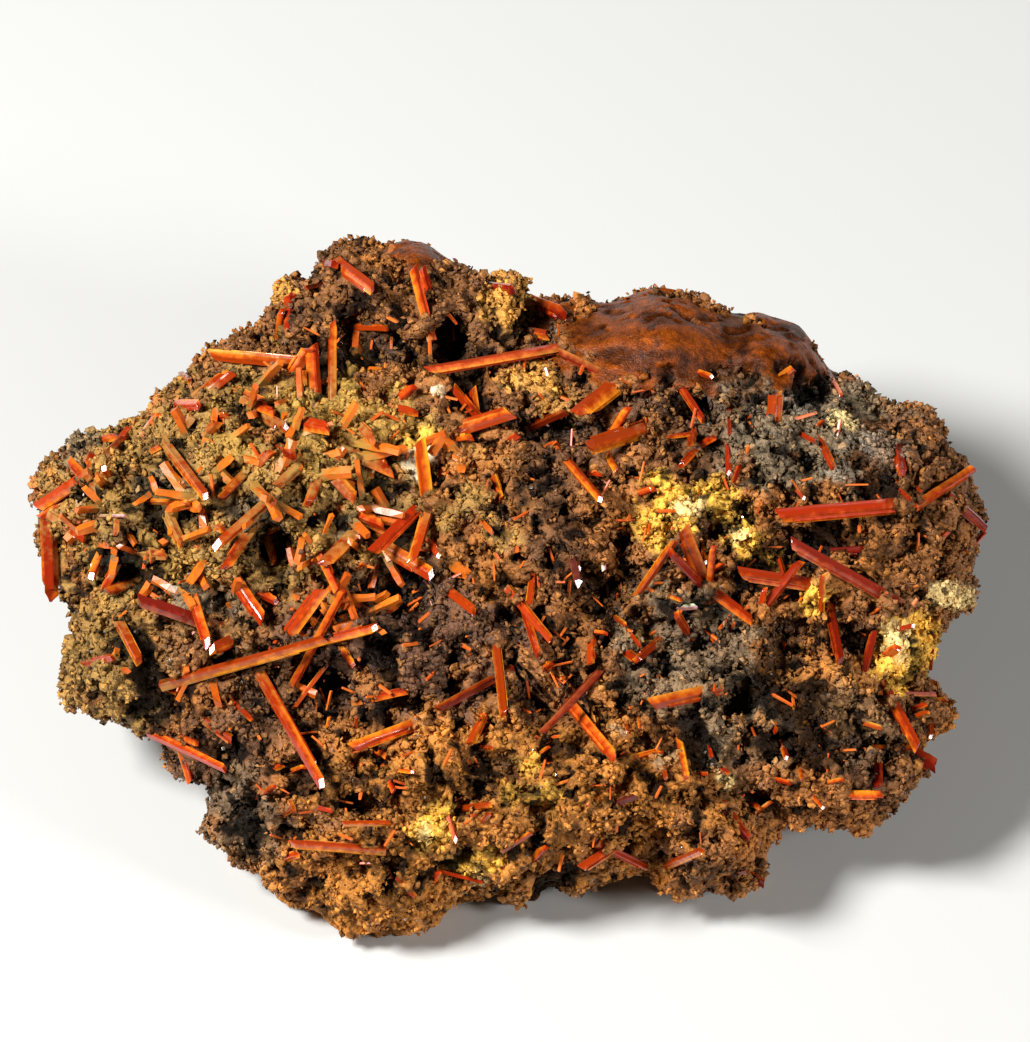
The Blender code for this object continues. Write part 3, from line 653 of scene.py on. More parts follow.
# %% Thin the relief where it is smooth
MOST_ROCK_TRIANGLES = 185000
triangles = sum(len(face.vertices) - 2 for face in rock.data.polygons)
thinner = rock.modifiers.new("fewer triangles where it is smooth", "DECIMATE")
thinner.ratio = MOST_ROCK_TRIANGLES / triangles
rock = new_object("limonite_rock", plain_mesh(rock))
colour, rough, gloss = patched(read_vectors(rock.data, "co"))
write_numbers(rock.data, "rough", rough)
write_numbers(rock.data, "gloss", gloss)
print("rock triangles:", triangles, "thinned to", len(rock.data.polygons))

# %% [markdown]
# ## Where the crystals stand
#
# Each prism has a root, a tip and a width read off the face. The large ones are nodes of the frame, so
# they stay exactly where those are, and the rock gives way: under each prism its surface is pressed down
# until the prism is clear of it. Rows that share a name grew together.

# %% Large crystals
# Name, root, tip and width in steps, and how far the tip stands off the rock in mm.
CRYSTALS = [
    ("crown_slanting", (341, 265), (374, 290), 12, 2.0),
    ("crown_post", (428, 326), (412, 264), 9, 1.2),
    ("crown_needle", (333, 397), (333, 318), 8, 1.6),
    ("crown_vee", (316, 398), (312, 342), 13, 2.5),
    ("crown_vee", (290, 376), (309, 346), 12, 2.3),
    ("crown_side", (280, 361), (207, 354), 11, 1.2),
    ("crown_long", (560, 347), (426, 371), 11, 1.6),
    ("crust_edge", (49, 527), (52, 601), 15, 3.0),
    ("crust_corner", (80, 479), (34, 509), 11, 1.4),
    ("crust_bar", (167, 445), (208, 497), 10, 1.6),
    ("crust_bright", (270, 500), (215, 548), 10, 2.6),
    ("crust_dusty", (254, 527), (226, 570), 11, 2.0),
    ("crust_fork", (326, 466), (358, 501), 11, 1.8),
    ("crust_low", (214, 626), (137, 599), 12, 1.6),
    ("crust_hook", (192, 588), (211, 647), 10, 3.0),
    ("crust_hook", (239, 637), (212, 649), 12, 2.8),
    ("crust_stub", (121, 625), (142, 662), 10, 2.0),
    ("crust_plump", (300, 423), (331, 430), 12, 1.8),
    ("spray_centre", (429, 504), (420, 437), 12, 2.6),
    ("spray_centre", (430, 501), (412, 562), 11, 3.0),
    ("spray_centre", (426, 500), (371, 554), 12, 3.0),
    ("centre_glint", (383, 545), (433, 575), 13, 1.6),
    ("centre_short", (350, 511), (386, 526), 10, 2.0),
    ("centre_dart", (316, 545), (339, 593), 9, 3.0),
    ("centre_thick", (360, 527), (323, 566), 14, 1.4),
    ("centre_blade", (284, 642), (326, 586), 13, 3.0),
    ("cross_left", (176, 681), (330, 638), 10, 2.6),
    ("cross_upright", (289, 692), (345, 588), 8, 2.2),
    ("cross_tip", (330, 639), (377, 627), 10, 2.8),
    ("centre_glassy", (262, 676), (325, 784), 10, 3.2),
    ("crust_wedge", (231, 571), (266, 622), 12, 1.8),
    ("centre_button", (445, 588), (476, 612), 9, 1.6),
    ("centre_upright", (495, 638), (504, 716), 9, 2.4),
    ("centre_slip", (516, 597), (552, 641), 8, 2.0),
    ("centre_beam", (422, 720), (350, 747), 11, 2.6),
    ("centre_amber", (500, 674), (436, 709), 8, 1.0),
    ("centre_brown", (609, 662), (540, 733), 8, 1.4),
    ("centre_strong", (563, 694), (614, 756), 11, 3.2),
    ("crown_plate", (456, 430), (515, 412), 13, 2.4),
    ("centre_spike", (561, 453), (601, 501), 8, 2.6),
    ("blade_top", (620, 381), (577, 415), 18, 1.8),
    ("blade_middle", (636, 433), (585, 450), 17, 2.2),
    ("right_sliver", (678, 382), (704, 422), 7, 1.6),
    ("right_block", (772, 424), (775, 390), 14, 1.6),
    ("right_beam", (894, 505), (773, 516), 15, 3.2),
    ("right_tip", (922, 501), (976, 467), 10, 2.2),
    ("right_rose", (889, 598), (787, 541), 11, 3.6),
    ("star_right", (818, 585), (735, 572), 12, 2.6),
    ("star_right", (761, 609), (800, 560), 9, 3.4),
    ("right_end", (959, 504), (987, 529), 10, 1.2),
    ("right_drop", (830, 615), (839, 662), 9, 1.8),
    ("frame_right", (888, 694), (918, 750), 10, 2.6),
    ("knob_right", (921, 757), (938, 767), 14, 0.8),
    ("corner_right", (842, 793), (880, 793), 10, 1.4),
    ("right_wedge", (708, 690), (646, 703), 13, 2.8),
    ("right_spear", (634, 599), (675, 539), 7, 3.4),
    ("spray_right", (706, 590), (668, 551), 8, 2.8),
    ("spray_right", (706, 588), (681, 524), 15, 2.6),
    ("spray_right", (708, 591), (712, 546), 7, 3.2),
    ("spray_right", (703, 585), (753, 622), 9, 1.4),
    ("vee_centre", (621, 647), (638, 660), 8, 2.0),
    ("vee_centre", (653, 645), (635, 660), 8, 2.0),
    ("centre_plum", (569, 549), (580, 587), 10, 1.6),
    ("foot_left", (158, 737), (228, 768), 8, 1.4),
    ("foot_bright", (371, 848), (291, 842), 9, 2.2),
    ("vee_foot", (612, 846), (578, 868), 10, 1.6),
    ("vee_foot", (606, 846), (649, 868), 8, 1.4),
    ("foot_right", (664, 866), (701, 848), 8, 1.6),
]

# %% Small crystals and specks
# Root, tip and width in steps.
SMALL_CRYSTALS = [
    ((289, 321), (289, 290), 12), ((279, 326), (281, 308), 7), ((348, 326), (388, 328), 7),
    ((536, 302), (565, 313), 14), ((525, 331), (551, 335), 10), ((494, 287), (514, 290), 10),
    ((324, 263), (335, 264), 9), ((206, 391), (234, 370), 12), ((269, 380), (285, 361), 11),
    ((241, 391), (266, 402), 8), ((252, 404), (277, 415), 9), ((260, 414), (288, 429), 12),
    ((172, 405), (200, 405), 11), ((202, 439), (220, 420), 10), ((208, 417), (229, 415), 7),
    ((178, 432), (194, 415), 11), ((148, 429), (161, 411), 9), ((115, 447), (131, 426), 10),
    ((94, 443), (118, 435), 8), ((105, 456), (124, 437), 9), ((87, 479), (68, 459), 9),
    ((103, 479), (87, 454), 12), ((112, 479), (104, 468), 8), ((146, 454), (162, 446), 7),
    ((256, 470), (273, 450), 10), ((275, 445), (296, 457), 9), ((306, 460), (276, 488), 10),
    ((319, 476), (308, 506), 10), ((248, 473), (221, 500), 9), ((137, 501), (192, 503), 6),
    ((168, 512), (185, 547), 10), ((59, 521), (88, 540), 10), ((98, 516), (127, 516), 4),
    ((102, 554), (91, 578), 9), ((143, 553), (168, 555), 10), ((152, 547), (156, 562), 10),
    ((85, 664), (116, 657), 8), ((61, 505), (37, 519), 8), ((181, 375), (189, 381), 7),
    ((211, 524), (225, 530), 8), ((356, 424), (375, 442), 12), ((354, 456), (396, 474), 11),
    ((396, 405), (414, 385), 10), ((395, 409), (418, 413), 8), ((428, 538), (439, 556), 7),
    ((337, 641), (355, 665), 7), ((265, 533), (276, 565), 7), ((485, 710), (470, 744), 9),
    ((450, 440), (472, 437), 10), ((495, 449), (520, 434), 9), ((492, 472), (502, 502), 7),
    ((449, 456), (441, 476), 8), ((698, 418), (690, 445), 8), ((697, 449), (680, 467), 7),
    ((729, 408), (729, 434), 5), ((728, 443), (728, 475), 6), ((740, 461), (733, 483), 5),
    ((700, 446), (715, 437), 7), ((784, 375), (795, 367), 9), ((817, 436), (833, 470), 7),
    ((659, 438), (691, 434), 5), ((831, 373), (842, 395), 5), ((607, 453), (617, 473), 8),
    ((897, 447), (902, 474), 10), ((939, 539), (948, 530), 7), ((861, 673), (873, 630), 8),
    ((879, 635), (912, 625), 6), ((882, 655), (897, 646), 9), ((907, 711), (926, 703), 5),
    ((886, 747), (917, 747), 6), ((933, 646), (930, 671), 5), ((692, 641), (675, 613), 8),
    ((673, 608), (696, 606), 6), ((591, 639), (590, 665), 8), ((577, 629), (607, 633), 5),
    ((602, 546), (604, 572), 6), ((543, 669), (552, 661), 8), ((700, 538), (705, 563), 5),
    ((624, 625), (640, 646), 5), ((759, 611), (764, 587), 6), ((185, 759), (192, 783), 9),
    ((219, 728), (235, 740), 9), ((230, 699), (253, 718), 6), ((180, 734), (199, 743), 7),
    ((257, 798), (276, 784), 6), ((286, 857), (299, 853), 8), ((377, 747), (389, 756), 8),
    ((461, 808), (490, 802), 8), ((447, 809), (457, 841), 6), ((512, 843), (532, 830), 5),
    ((533, 859), (545, 845), 8), ((433, 868), (484, 881), 5), ((408, 886), (417, 897), 7),
    ((630, 758), (662, 750), 7), ((611, 804), (637, 793), 7), ((677, 735), (686, 777), 7),
    ((661, 750), (665, 777), 6), ((771, 712), (775, 733), 5), ((770, 777), (790, 782), 5),
    ((807, 790), (822, 807), 5), ((751, 815), (771, 800), 5), ((750, 872), (766, 885), 9),
    ((852, 719), (880, 727), 5), ((635, 495), (655, 488), 7), ((367, 699), (409, 690), 8),
    ((331, 659), (294, 708), 5), ((431, 302), (421, 265), 8), ((600, 372), (557, 351), 9),
    ((119, 562), (104, 591), 9), ((139, 583), (106, 592), 9), ((250, 588), (281, 603), 8),
    ((523, 604), (539, 656), 7), ((534, 571), (529, 606), 7), ((484, 424), (452, 386), 9),
    ((478, 424), (472, 386), 8), ((526, 429), (568, 411), 8), ((611, 436), (628, 407), 9),
    ((907, 547), (828, 552), 9), ((785, 579), (778, 556), 5), ((820, 620), (821, 574), 6),
    ((886, 692), (936, 694), 6), ((933, 690), (930, 738), 6), ((877, 760), (877, 788), 9),
    ((408, 821), (343, 821), 6), ((730, 812), (750, 840), 8),
]

SPECKS = [
    ((323, 283), (304, 287), 6), ((118, 516), (118, 535), 6), ((354, 573), (363, 563), 4),
    ((382, 616), (392, 609), 5), ((161, 685), (177, 692), 6), ((799, 433), (815, 442), 6),
    ((815, 429), (823, 420), 5), ((696, 371), (713, 377), 6), ((584, 472), (602, 475), 5),
    ((973, 547), (986, 532), 5), ((913, 483), (921, 492), 4), ((899, 489), (909, 500), 5),
    ((910, 718), (927, 711), 6), ((959, 553), (968, 551), 5), ((706, 573), (723, 563), 5),
    ((612, 615), (625, 624), 5), ((668, 595), (681, 600), 5), ((781, 637), (785, 648), 5),
    ((795, 489), (804, 499), 5), ((271, 770), (285, 763), 6), ((291, 771), (306, 765), 6),
    ((316, 805), (335, 809), 6), ((287, 792), (297, 809), 5), ((283, 815), (296, 806), 5),
    ((388, 774), (395, 791), 6), ((327, 733), (331, 715), 5), ((357, 729), (357, 715), 4),
    ((479, 747), (492, 746), 5), ((433, 884), (439, 870), 6), ((395, 768), (413, 770), 5),
    ((625, 721), (627, 731), 4), ((638, 713), (639, 727), 4), ((481, 822), (490, 811), 5),
    ((537, 755), (549, 745), 5), ((797, 764), (801, 779), 6), ((825, 782), (841, 778), 5),
    ((747, 801), (759, 807), 5), ((735, 873), (747, 870), 5), ((936, 701), (949, 699), 6),
    ((708, 743), (711, 757), 5), ((780, 741), (785, 757), 6), ((719, 768), (727, 771), 6),
    ((694, 772), (706, 772), 5),
]

# %% The axis of each crystal
ROOT_SINK = 0.5 * MM
ROOT_LENGTH = 1.7 * MM
TIP_TAPER = 0.94
END_SLANT = 0.7
PRISM_DEPTH = 0.9
BLADE_DEPTH = 0.5
BLADE_WIDTH_STEPS = 13
ROLL_SPREAD = math.radians(34)
ROLL_STEP = 2.4
AXIS_SHARES = (0.35, 0.5, 0.7, 0.85, 1.0)
MOST_EXTRA_LIFT = 2.5 * MM
SMALL_LIFT = 0.8 * MM


def crystal_axis(root, tip, lift, ground_at):
    """Where a crystal leaves the rock and where it ends, clear of the ground along its whole length."""
    shares = np.array(AXIS_SHARES)
    x = root[0] + shares * (tip[0] - root[0])
    y = root[1] + shares * (tip[1] - root[1])
    ground = ground_at(x, y)
    start = float(ground_at(np.array([root[0]]), np.array([root[1]]))[0]) - ROOT_SINK
    needed = float(np.max((ground + lift * shares - start * (1 - shares)) / shares))
    end = min(needed, float(ground[-1]) + lift + MOST_EXTRA_LIFT)
    foot, head = Vector(place(*root, start)), Vector(place(*tip, end))
    return foot - (head - foot).normalized() * ROOT_LENGTH, head


large = []
for number, (node, root, tip, width, lift) in enumerate(CRYSTALS):
    foot, head = crystal_axis(root, tip, lift * MM, front_out)
    large.append((node, foot, head, width * STEP, ROLL_SPREAD * math.sin(ROLL_STEP * number)))
print("large crystals:", len(large))

# %% Press the rock down under the large crystals
CLEAR_BELOW = 0.45
CLEAR_EXTRA = 0.15 * MM
CLEAR_SIDE = 0.7
BANK_SLOPE = 1.6
BANK_WIDTHS = 2.2
PAST_TIP_WIDTHS = 0.4
BARE_WIDTHS = 1.1
BARE_BELOW = 1.6 * MM
BURIED_LENGTH = 2.6 * MM
PRESS_REACH = 8 * MM
VIEWER = np.array(TOWARDS_VIEWER)


def press(points, facing):
    """Lowers the rock's face where it would cover a crystal. Returns how bare of grains each point is."""
    bare = np.zeros(len(points))
    for _, foot, head, width, _ in large:
        start, axis = np.array(foot), np.array(head - foot)
        length = np.linalg.norm(axis)
        axis /= length
        side = np.cross(axis, VIEWER)
        side /= np.linalg.norm(side)
        upward = np.cross(side, axis)
        gap = points - start
        along, aside, above = gap @ axis, np.abs(gap @ side), gap @ upward
        near = facing & (along > BURIED_LENGTH) & (along < length + PAST_TIP_WIDTHS * width)
        near &= (aside < BANK_WIDTHS * width) & (np.abs(above) < PRESS_REACH)
        limit = -CLEAR_BELOW * width - CLEAR_EXTRA + np.maximum(0, aside - CLEAR_SIDE * width) * BANK_SLOPE
        over = np.where(near, np.maximum(0, above - limit), 0)
        points -= over[:, None] * upward
        close = near & (aside < BARE_WIDTHS * width) & (above > -BARE_BELOW)
        bare = np.maximum(bare, close)
    return bare


# %% Raise a clod round each root
COLLAR_RISE = 1.1 * MM
COLLAR_REACH = 1.3
COLLAR_DEPTH = 5 * MM


def collar(points):
    """Raises the clod that each large crystal grew out of."""
    for _, foot, head, width, _ in large:
        root = np.array(foot + (head - foot).normalized() * ROOT_LENGTH)
        apart = points - root
        apart -= np.outer(apart @ VIEWER, VIEWER)
        share = np.clip(1 - np.linalg.norm(apart, axis=1) / (COLLAR_REACH * width), 0, 1)
        near = np.abs((points - root) @ VIEWER) < COLLAR_DEPTH
        points += np.outer(share ** 0.5 * near * COLLAR_RISE, VIEWER)


FACING_LIMIT = -0.2
points = read_vectors(rock.data, "co")
facing = read_vectors(rock.data, "normal") @ VIEWER > FACING_LIMIT
bare = press(points, facing)
collar(points)
points[:, 2] = np.maximum(points[:, 2], 0)
rock.data.vertices.foreach_set("co", points.ravel())
rock.data.update()
write_colours(rock.data, "shade", colour)
print("rock reaches", points.min(0), points.max(0))

# %% Where grains grow
# They start above the floor, thin out in deep pits and on the back, and leave smooth and bare places free.
FLOOR_MARGIN_MM = 2.1
FLOOR_FADE_MM = 1.5
PIT_FLOOR_MM = -1.6
PIT_FADE_MM = 1.8
FEWEST_IN_PITS = 0.25
FEWEST_BEHIND = 0.25
SMOOTH_LIMIT = 0.45
SMOOTH_FADE = 0.3
heights = np.empty(len(points), np.float32)
rock.data.attributes["height"].data.foreach_get("value", heights)
grain = np.clip((rough - SMOOTH_LIMIT) / SMOOTH_FADE, 0, 1) * (1 - bare)
grain *= np.clip((points[:, 2] / MM - FLOOR_MARGIN_MM) / FLOOR_FADE_MM, 0, 1)
grain *= np.clip((heights / MM - PIT_FLOOR_MM) / PIT_FADE_MM, FEWEST_IN_PITS, 1)
grain *= np.where(facing, 1, FEWEST_BEHIND)
write_numbers(rock.data, "grain", grain)
GRAIN_AREA = weighted_area(rock.data, grain)
print("rock area for grains in m2:", GRAIN_AREA)

# %% [markdown]
# ## Grains
#
# Close up, limonite is thousands of rounded grains. A particle system could sow them, but the export would
# drop it. Geometry Nodes scatter small balls over the rock, each one sunk by about half, turned and
# squashed at random, and then make them real mesh. They keep the colour of the ground that they grow from.
# There are none on the smooth caps and none where a prism needs the room.

# %% Scattering on the rock
CHANCE = "FunctionNodeRandomValue"
CHANCES = {"data_type": "FLOAT_VECTOR"}
FULL_TURN = 6.28


def sown(tree, given, attribute):
    """Scatters points, as many as an attribute of the ground allows. Returns the scatter's outputs."""
    room = add(tree, READ, NUMBER, {"Name": attribute})
    density = add(tree, MATHS, TIMES, {0: given["Count per m2"], 1: room})
    return add(tree, "GeometryNodeDistributePointsOnFaces", {"distribute_method": "RANDOM"}, {
        "Mesh": given["Geometry"], "Density": density, "Seed": given["Seed"]}).node.outputs


def grown(tree, given, scatter, rise, tone, looks, wrinkle_width, material):
    """Puts a shape on every scattered point, with its turn and size, then wrinkles and paints them."""
    offset = add(tree, VECTORS, SCALED, {0: scatter["Normal"], "Scale": rise})
    seated = add(tree, MOVE, None, {"Geometry": scatter["Points"], "Offset": offset})
    toned = add(tree, STORE, POINT_NUMBER, {"Geometry": seated, "Name": "tone", "Value": tone})
    copies = add(tree, "GeometryNodeInstanceOnPoints", None, {"Points": toned, **looks})
    whole = add(tree, "GeometryNodeRealizeInstances", None, {"Geometry": copies})
    wild = add(tree, NOISE, None, {
        "Vector": add(tree, POSITION), "Scale": 1 / wrinkle_width, "Detail": 1.0}, "Color")
    centred = add(tree, VECTORS, MINUS, {0: wild, 1: HALVES})
    shift = add(tree, VECTORS, SCALED, {0: centred, "Scale": given["Crumble"]})
    crumbled = add(tree, MOVE, None, {"Geometry": whole, "Offset": shift})
    return add(tree, "GeometryNodeSetMaterial", None, {"Geometry": crumbled, "Material": material})


# %% The grain tree
GRAIN_INPUTS = ("Count per m2", "Smallest", "Largest", "Rise", "Crumble", "Seed")
FLATTEST = (0.45, 0.45, 0.45)
FULLEST = (1.3, 1.3, 1.3)
CRUMB_SHAPE = {"Segments": 4, "Rings": 2, "Radius": 1.0}
GRAIN_SHAPE = {"Subdivisions": 1, "Radius": 1.0}
GRAIN_WRINKLE = 0.5 * MM
TONE_SEED = 77


def grain_tree(material, crumbs):
    """Grains on the ground: rounded balls, or crumbs with eight flat faces."""
    tree, given, result = new_tree("limonite grains", GRAIN_INPUTS)
    seed = given["Seed"]
    scatter = sown(tree, given, "grain")
    size = add(tree, CHANCE, NUMBER, {2: given["Smallest"], 3: given["Largest"], "Seed": seed}, 1)
    rise = add(tree, CHANCE, NUMBER, {2: 0.0, 3: given["Rise"], "Seed": seed}, 1)
    tone = add(tree, CHANCE, NUMBER, {2: 0.0, 3: 1.0, "Seed": TONE_SEED}, 1)
    squash = add(tree, CHANCE, CHANCES, {0: FLATTEST, 1: FULLEST, "Seed": seed})
    turn = add(tree, CHANCE, CHANCES, {0: (0.0, 0.0, 0.0), 1: (FULL_TURN,) * 3, "Seed": seed})
    if crumbs:
        ball = add(tree, "GeometryNodeMeshUVSphere", None, CRUMB_SHAPE, "Mesh")
    else:
        ball = add(tree, "GeometryNodeMeshIcoSphere", None, GRAIN_SHAPE, "Mesh")
        ball = add(tree, "GeometryNodeSetShadeSmooth", None, {"Geometry": ball})
    squashed = add(tree, VECTORS, SCALED, {0: squash, "Scale": size})
    looks = {"Instance": ball, "Rotation": turn, "Scale": squashed}
    painted = grown(tree, given, scatter, rise, tone, looks, GRAIN_WRINKLE, material)
    tree.links.new(painted, result[0])
    return tree


# %% [markdown]
# ## The limonite's finish
#
# Earthy limonite scatters light from a fine powder, while its grown grains have a dull metallic gleam. One
# colour with one roughness would look like clay, so both vary from point to point, and a fine bump breaks
# up every highlight. The colour comes from the patches, varied from grain to grain and darkened in creases,
# partly for their dark coat and partly as painted shade.

# %% Limonite material
MOTTLE = {"Scale": 1 / (1.6 * MM), "Detail": 3.0, "Roughness": 0.65}
SPECKLE = {"Scale": 1 / (0.22 * MM), "Detail": 2.0}
STAIN = {"Scale": 1 / (1.3 * MM), "Detail": 6.0, "Roughness": 0.75, "Distortion": 0.6}
BEAD_WIDTH = 0.6 * MM
CREASE_DEPTH = 2.0 * MM
CAP_ROUGHNESS = 0.38
OXIDE_GOLD = "#cc8a34"


def new_material(name, constants):
    """A material with constants set on its shader. Returns it, its node tree and the shader's inputs."""
    material = bpy.data.materials.new(name)
    material.use_nodes = True
    sockets = material.node_tree.nodes["Principled BSDF"].inputs
    for socket, value in constants.items():
        sockets[socket].default_value = value
    return material, material.node_tree, sockets


def limonite_material(name, toned):
    """Powdery brown rust: matt and mottled in the hollows, with a dull gleam on knobs and smooth caps."""
    material, tree, sockets = new_material(name, {"IOR": 1.7})
    shade = add(tree, STORED, {"attribute_name": "shade"}, out="Color")
    height, gloss = (add(tree, STORED, {"attribute_name": what}, out="Fac") for what in ("height", "gloss"))
    position = add(tree, "ShaderNodeTexCoord", out="Object")
    mottle, speckle, stain = (
        add(tree, NOISE, None, {"Vector": position, **pattern}, "Fac")
        for pattern in (MOTTLE, SPECKLE, STAIN))
    # Dark in the creases, light on the knobs: partly the creases' dark coat, partly painted shade.
    depth = add(tree, MATHS, TIMES, {0: height, 1: 1 / CREASE_DEPTH})
    lift = add(tree, MATHS, TIMES_PLUS, {0: mottle, 1: 1.6, 2: depth})
    open_air = add(tree, RANGE, {"interpolation_type": "SMOOTHSTEP"}, {
        "Value": lift, "From Min": 0.0, "From Max": 1.05, "To Min": 0.05, "To Max": 1.2})
    grit = add(tree, MATHS, TIMES_PLUS, {0: speckle, 1: 1.1, 2: 0.45})
    level = add(tree, MATHS, TIMES, {0: open_air, 1: grit})
    # The smooth caps carry dark stains as well.
    stained = add(tree, RANGE, None, {
        "Value": stain, "From Min": 0.38, "From Max": 0.62, "To Min": 0.30, "To Max": 1.15})
    level = add(tree, MIX, NUMBER, {0: gloss, 2: level, 3: add(tree, MATHS, TIMES, {0: level, 1: stained})})
    if toned:
        # Each grain has its own brightness, and the brightest are golden.
        tone = add(tree, STORED, {"attribute_name": "tone"}, out="Fac")
        brightness = add(tree, MATHS, TIMES_PLUS, {0: tone, 1: 0.8, 2: 0.6})
        level = add(tree, MATHS, TIMES, {0: level, 1: brightness})
        gold = add(tree, RANGE, None, {"Value": tone, "From Min": 0.55, "From Max": 1.0, "To Max": 0.22})
        shade = add(tree, MIX, COLOURS, {0: gold, 6: shade, 7: linear(OXIDE_GOLD)}, 2)
    tree.links.new(add(tree, VECTORS, SCALED, {0: shade, "Scale": level}), sockets["Base Color"])
    earthy = add(tree, RANGE, None, {
        "Value": mottle, "From Min": 0.35, "From Max": 0.65, "To Min": 0.42, "To Max": 0.85})
    roughness = add(tree, MIX, NUMBER, {0: gloss, 2: earthy, 3: CAP_ROUGHNESS})
    tree.links.new(roughness, sockets["Roughness"])
    # Creases don't gleam, and the caps gleam less than their smoothness alone would make them.
    gleam = add(tree, MATHS, TIMES_PLUS, {0: open_air, 1: 0.19, 2: 0.06})
    dulled = add(tree, MATHS, TIMES_PLUS, {0: gloss, 1: -0.55, 2: 1.0})
    tree.links.new(add(tree, MATHS, TIMES, {0: gleam, 1: dulled}), sockets["Specular IOR Level"])
    apart = add(tree, CELLS, {"feature": "F1"}, {"Vector": position, "Scale": 1 / BEAD_WIDTH}, "Distance")
    round_top, grown_rough = (add(tree, MATHS, MINUS, {0: 1.0, 1: field}) for field in (apart, gloss))
    beads = add(tree, MATHS, TIMES, {0: round_top, 1: grown_rough})
    fine = add(tree, MATHS, TIMES_PLUS, {0: speckle, 1: 0.6, 2: beads})
    bump = add(tree, BUMP, None, {"Strength": 1.0, "Distance": 0.30 * MM, "Height": fine})
    tree.links.new(bump, sockets["Normal"])
    return material


LIMONITE = limonite_material("limonite, earthy, as grown", toned=False)
GRAINS = limonite_material("limonite grains, dull gleam", toned=True)
rock.data.materials.clear()
rock.data.materials.append(LIMONITE)
rock.data.shade_smooth()

# %% Scatter the grains
# Name, count, smallest and largest radius, rise and crumbling in mm, seed, and whether they are crumbs.
GRAIN_SETS = [
    ("grains_coarse_a", 9400, 0.22, 0.60, 0.05, 1.6, 1, False),
    ("grains_coarse_b", 9400, 0.20, 0.46, 0.25, 1.4, 2, False),
    ("grains_fine_a", 9400, 0.14, 0.34, 0.40, 1.0, 3, False),
    ("crumbs", 18000, 0.12, 0.30, 0.50, 0.5, 4, True),
    ("clear_specks", 420, 0.12, 0.24, 0.55, 0.0, 5, True),
]
# Glassy specks on the rock only show where a face of one mirrors a lamp.
CLEAR, _, _ = new_material("clear glassy specks", {
    "Base Color": linear("#d8cfc0"), "Roughness": 0.08, "IOR": 1.9, "Transmission Weight": 0.8})

for name, count, smallest, largest, rise, crumble, seed, crumbs in GRAIN_SETS:
    tree = grain_tree(CLEAR if name == "clear_specks" else GRAINS, crumbs)
    grains = new_object(name, run_tree(new_object(name, rock.data.copy()), tree, {
        "Count per m2": count / GRAIN_AREA, "Smallest": smallest * MM, "Largest": largest * MM,
        "Rise": rise * MM, "Crumble": crumble * MM, "Seed": seed}))
    print(name, "faces:", len(grains.data.polygons))
    dress(grains, "limonite")
dress(rock, "limonite", "limonite_matrix")

# %% [markdown]
# ## Crocoite prisms
#
# A crocoite prism is four-sided, with narrow faces along its corners, fine grooves along its length and an
# end cut on the slant. A plain extruded rhomb would look like plastic. Mesh code builds each prism ring by
# ring instead, with its grooves, a slight waver, a bevelled end, and on the thick ones a thinner prism
# grown along the side.

# %% Lamps, and the ways that mirror them
GLARE_TURNS = (0.0, 0.12, -0.12, 0.24, -0.24, 0.36, -0.36, 0.5)
GLARE_LIMIT = math.cos(math.radians(13))


def from_view(right, up, towards):
    """A unit vector from its parts to the viewer's right, up the view, and towards the viewer."""
    upward = Vector((0, math.sin(FACE_LEAN), math.cos(FACE_LEAN)))
    return (Vector((right, 0, 0)) + upward * up + TOWARDS_VIEWER * towards).normalized()


LAMPS = {"key": from_view(-0.62, 0.34, 0.72), "second": from_view(0.80, -0.05, 0.60)}
MIRROR_WAYS = [(lamp + TOWARDS_VIEWER).normalized() for lamp in LAMPS.values()]


def turned_from_glare(axis, across, outward, width, depth, roll):
    """The roll of a prism, turned a little so that no side face mirrors a lamp to the viewer."""
    sides = [across * (depth * a) + outward * (width * b) for a in (-1, 1) for b in (-1, 1)]
    for extra in GLARE_TURNS:
        turn = Matrix.Rotation(roll + extra, 3, axis)
        normals = [turn @ side.normalized() for side in sides]
        if max(normal.dot(way) for normal in normals for way in MIRROR_WAYS) < GLARE_LIMIT:
            break
    return roll + extra


def glint_facing(root, tip):
    """The way an end faces that mirrors one of the two lamps to the viewer."""
    return max(MIRROR_WAYS, key=lambda way: way.dot(tip - root))


# %% One prism
RINGS_ALONG = (0.0, 0.22, 0.45, 0.68, 0.88, 1.0)
FEW_RINGS_ALONG = (0.0, 0.6, 1.0)
STOUT_STEPS = 8.5
CORNER_CUT = (0.07, 0.15)
GROOVE_PLACE = (0.35, 0.65)
GROOVE_DEPTH = (0.9, 1.0)
END_SWING = 0.25
STEEPEST_END = 0.45
RING_SIZES = (0.975, 1.02)
RING_WAVER = 0.02
BEVEL_SIZE = 0.82
BEVEL_HEIGHT = 0.05


def prism_section(width, depth, stout, rng):
    """The corners of the cross-section: a narrow face at each edge, and a groove in each stout side."""
    corners = np.array([(width / 2, 0), (0, depth / 2), (-width / 2, 0), (0, -depth / 2)])
    section = []
    for corner, after in zip(corners, np.roll(corners, -1, axis=0)):
        cut = rng.uniform(*CORNER_CUT)
        groove = rng.uniform(*GROOVE_PLACE)
        section.append(corner + (after - corner) * cut)
        if stout:
            section.append((corner + (after - corner) * groove) * rng.uniform(*GROOVE_DEPTH))
            section.append(corner + (after - corner) * (1 - cut))
    return np.array(section)


def ring_faces(count, rings):
    """The faces of a closed tube of rings with count points each, with a face at both ends."""
    faces = [tuple(range(count))[::-1], tuple(range((rings - 1) * count, rings * count))]
    for low in range(0, (rings - 1) * count, count):
        for index in range(count):
            after = (index + 1) % count
            faces.append((low + index, low + after, low + count + after, low + count + index))
    return faces


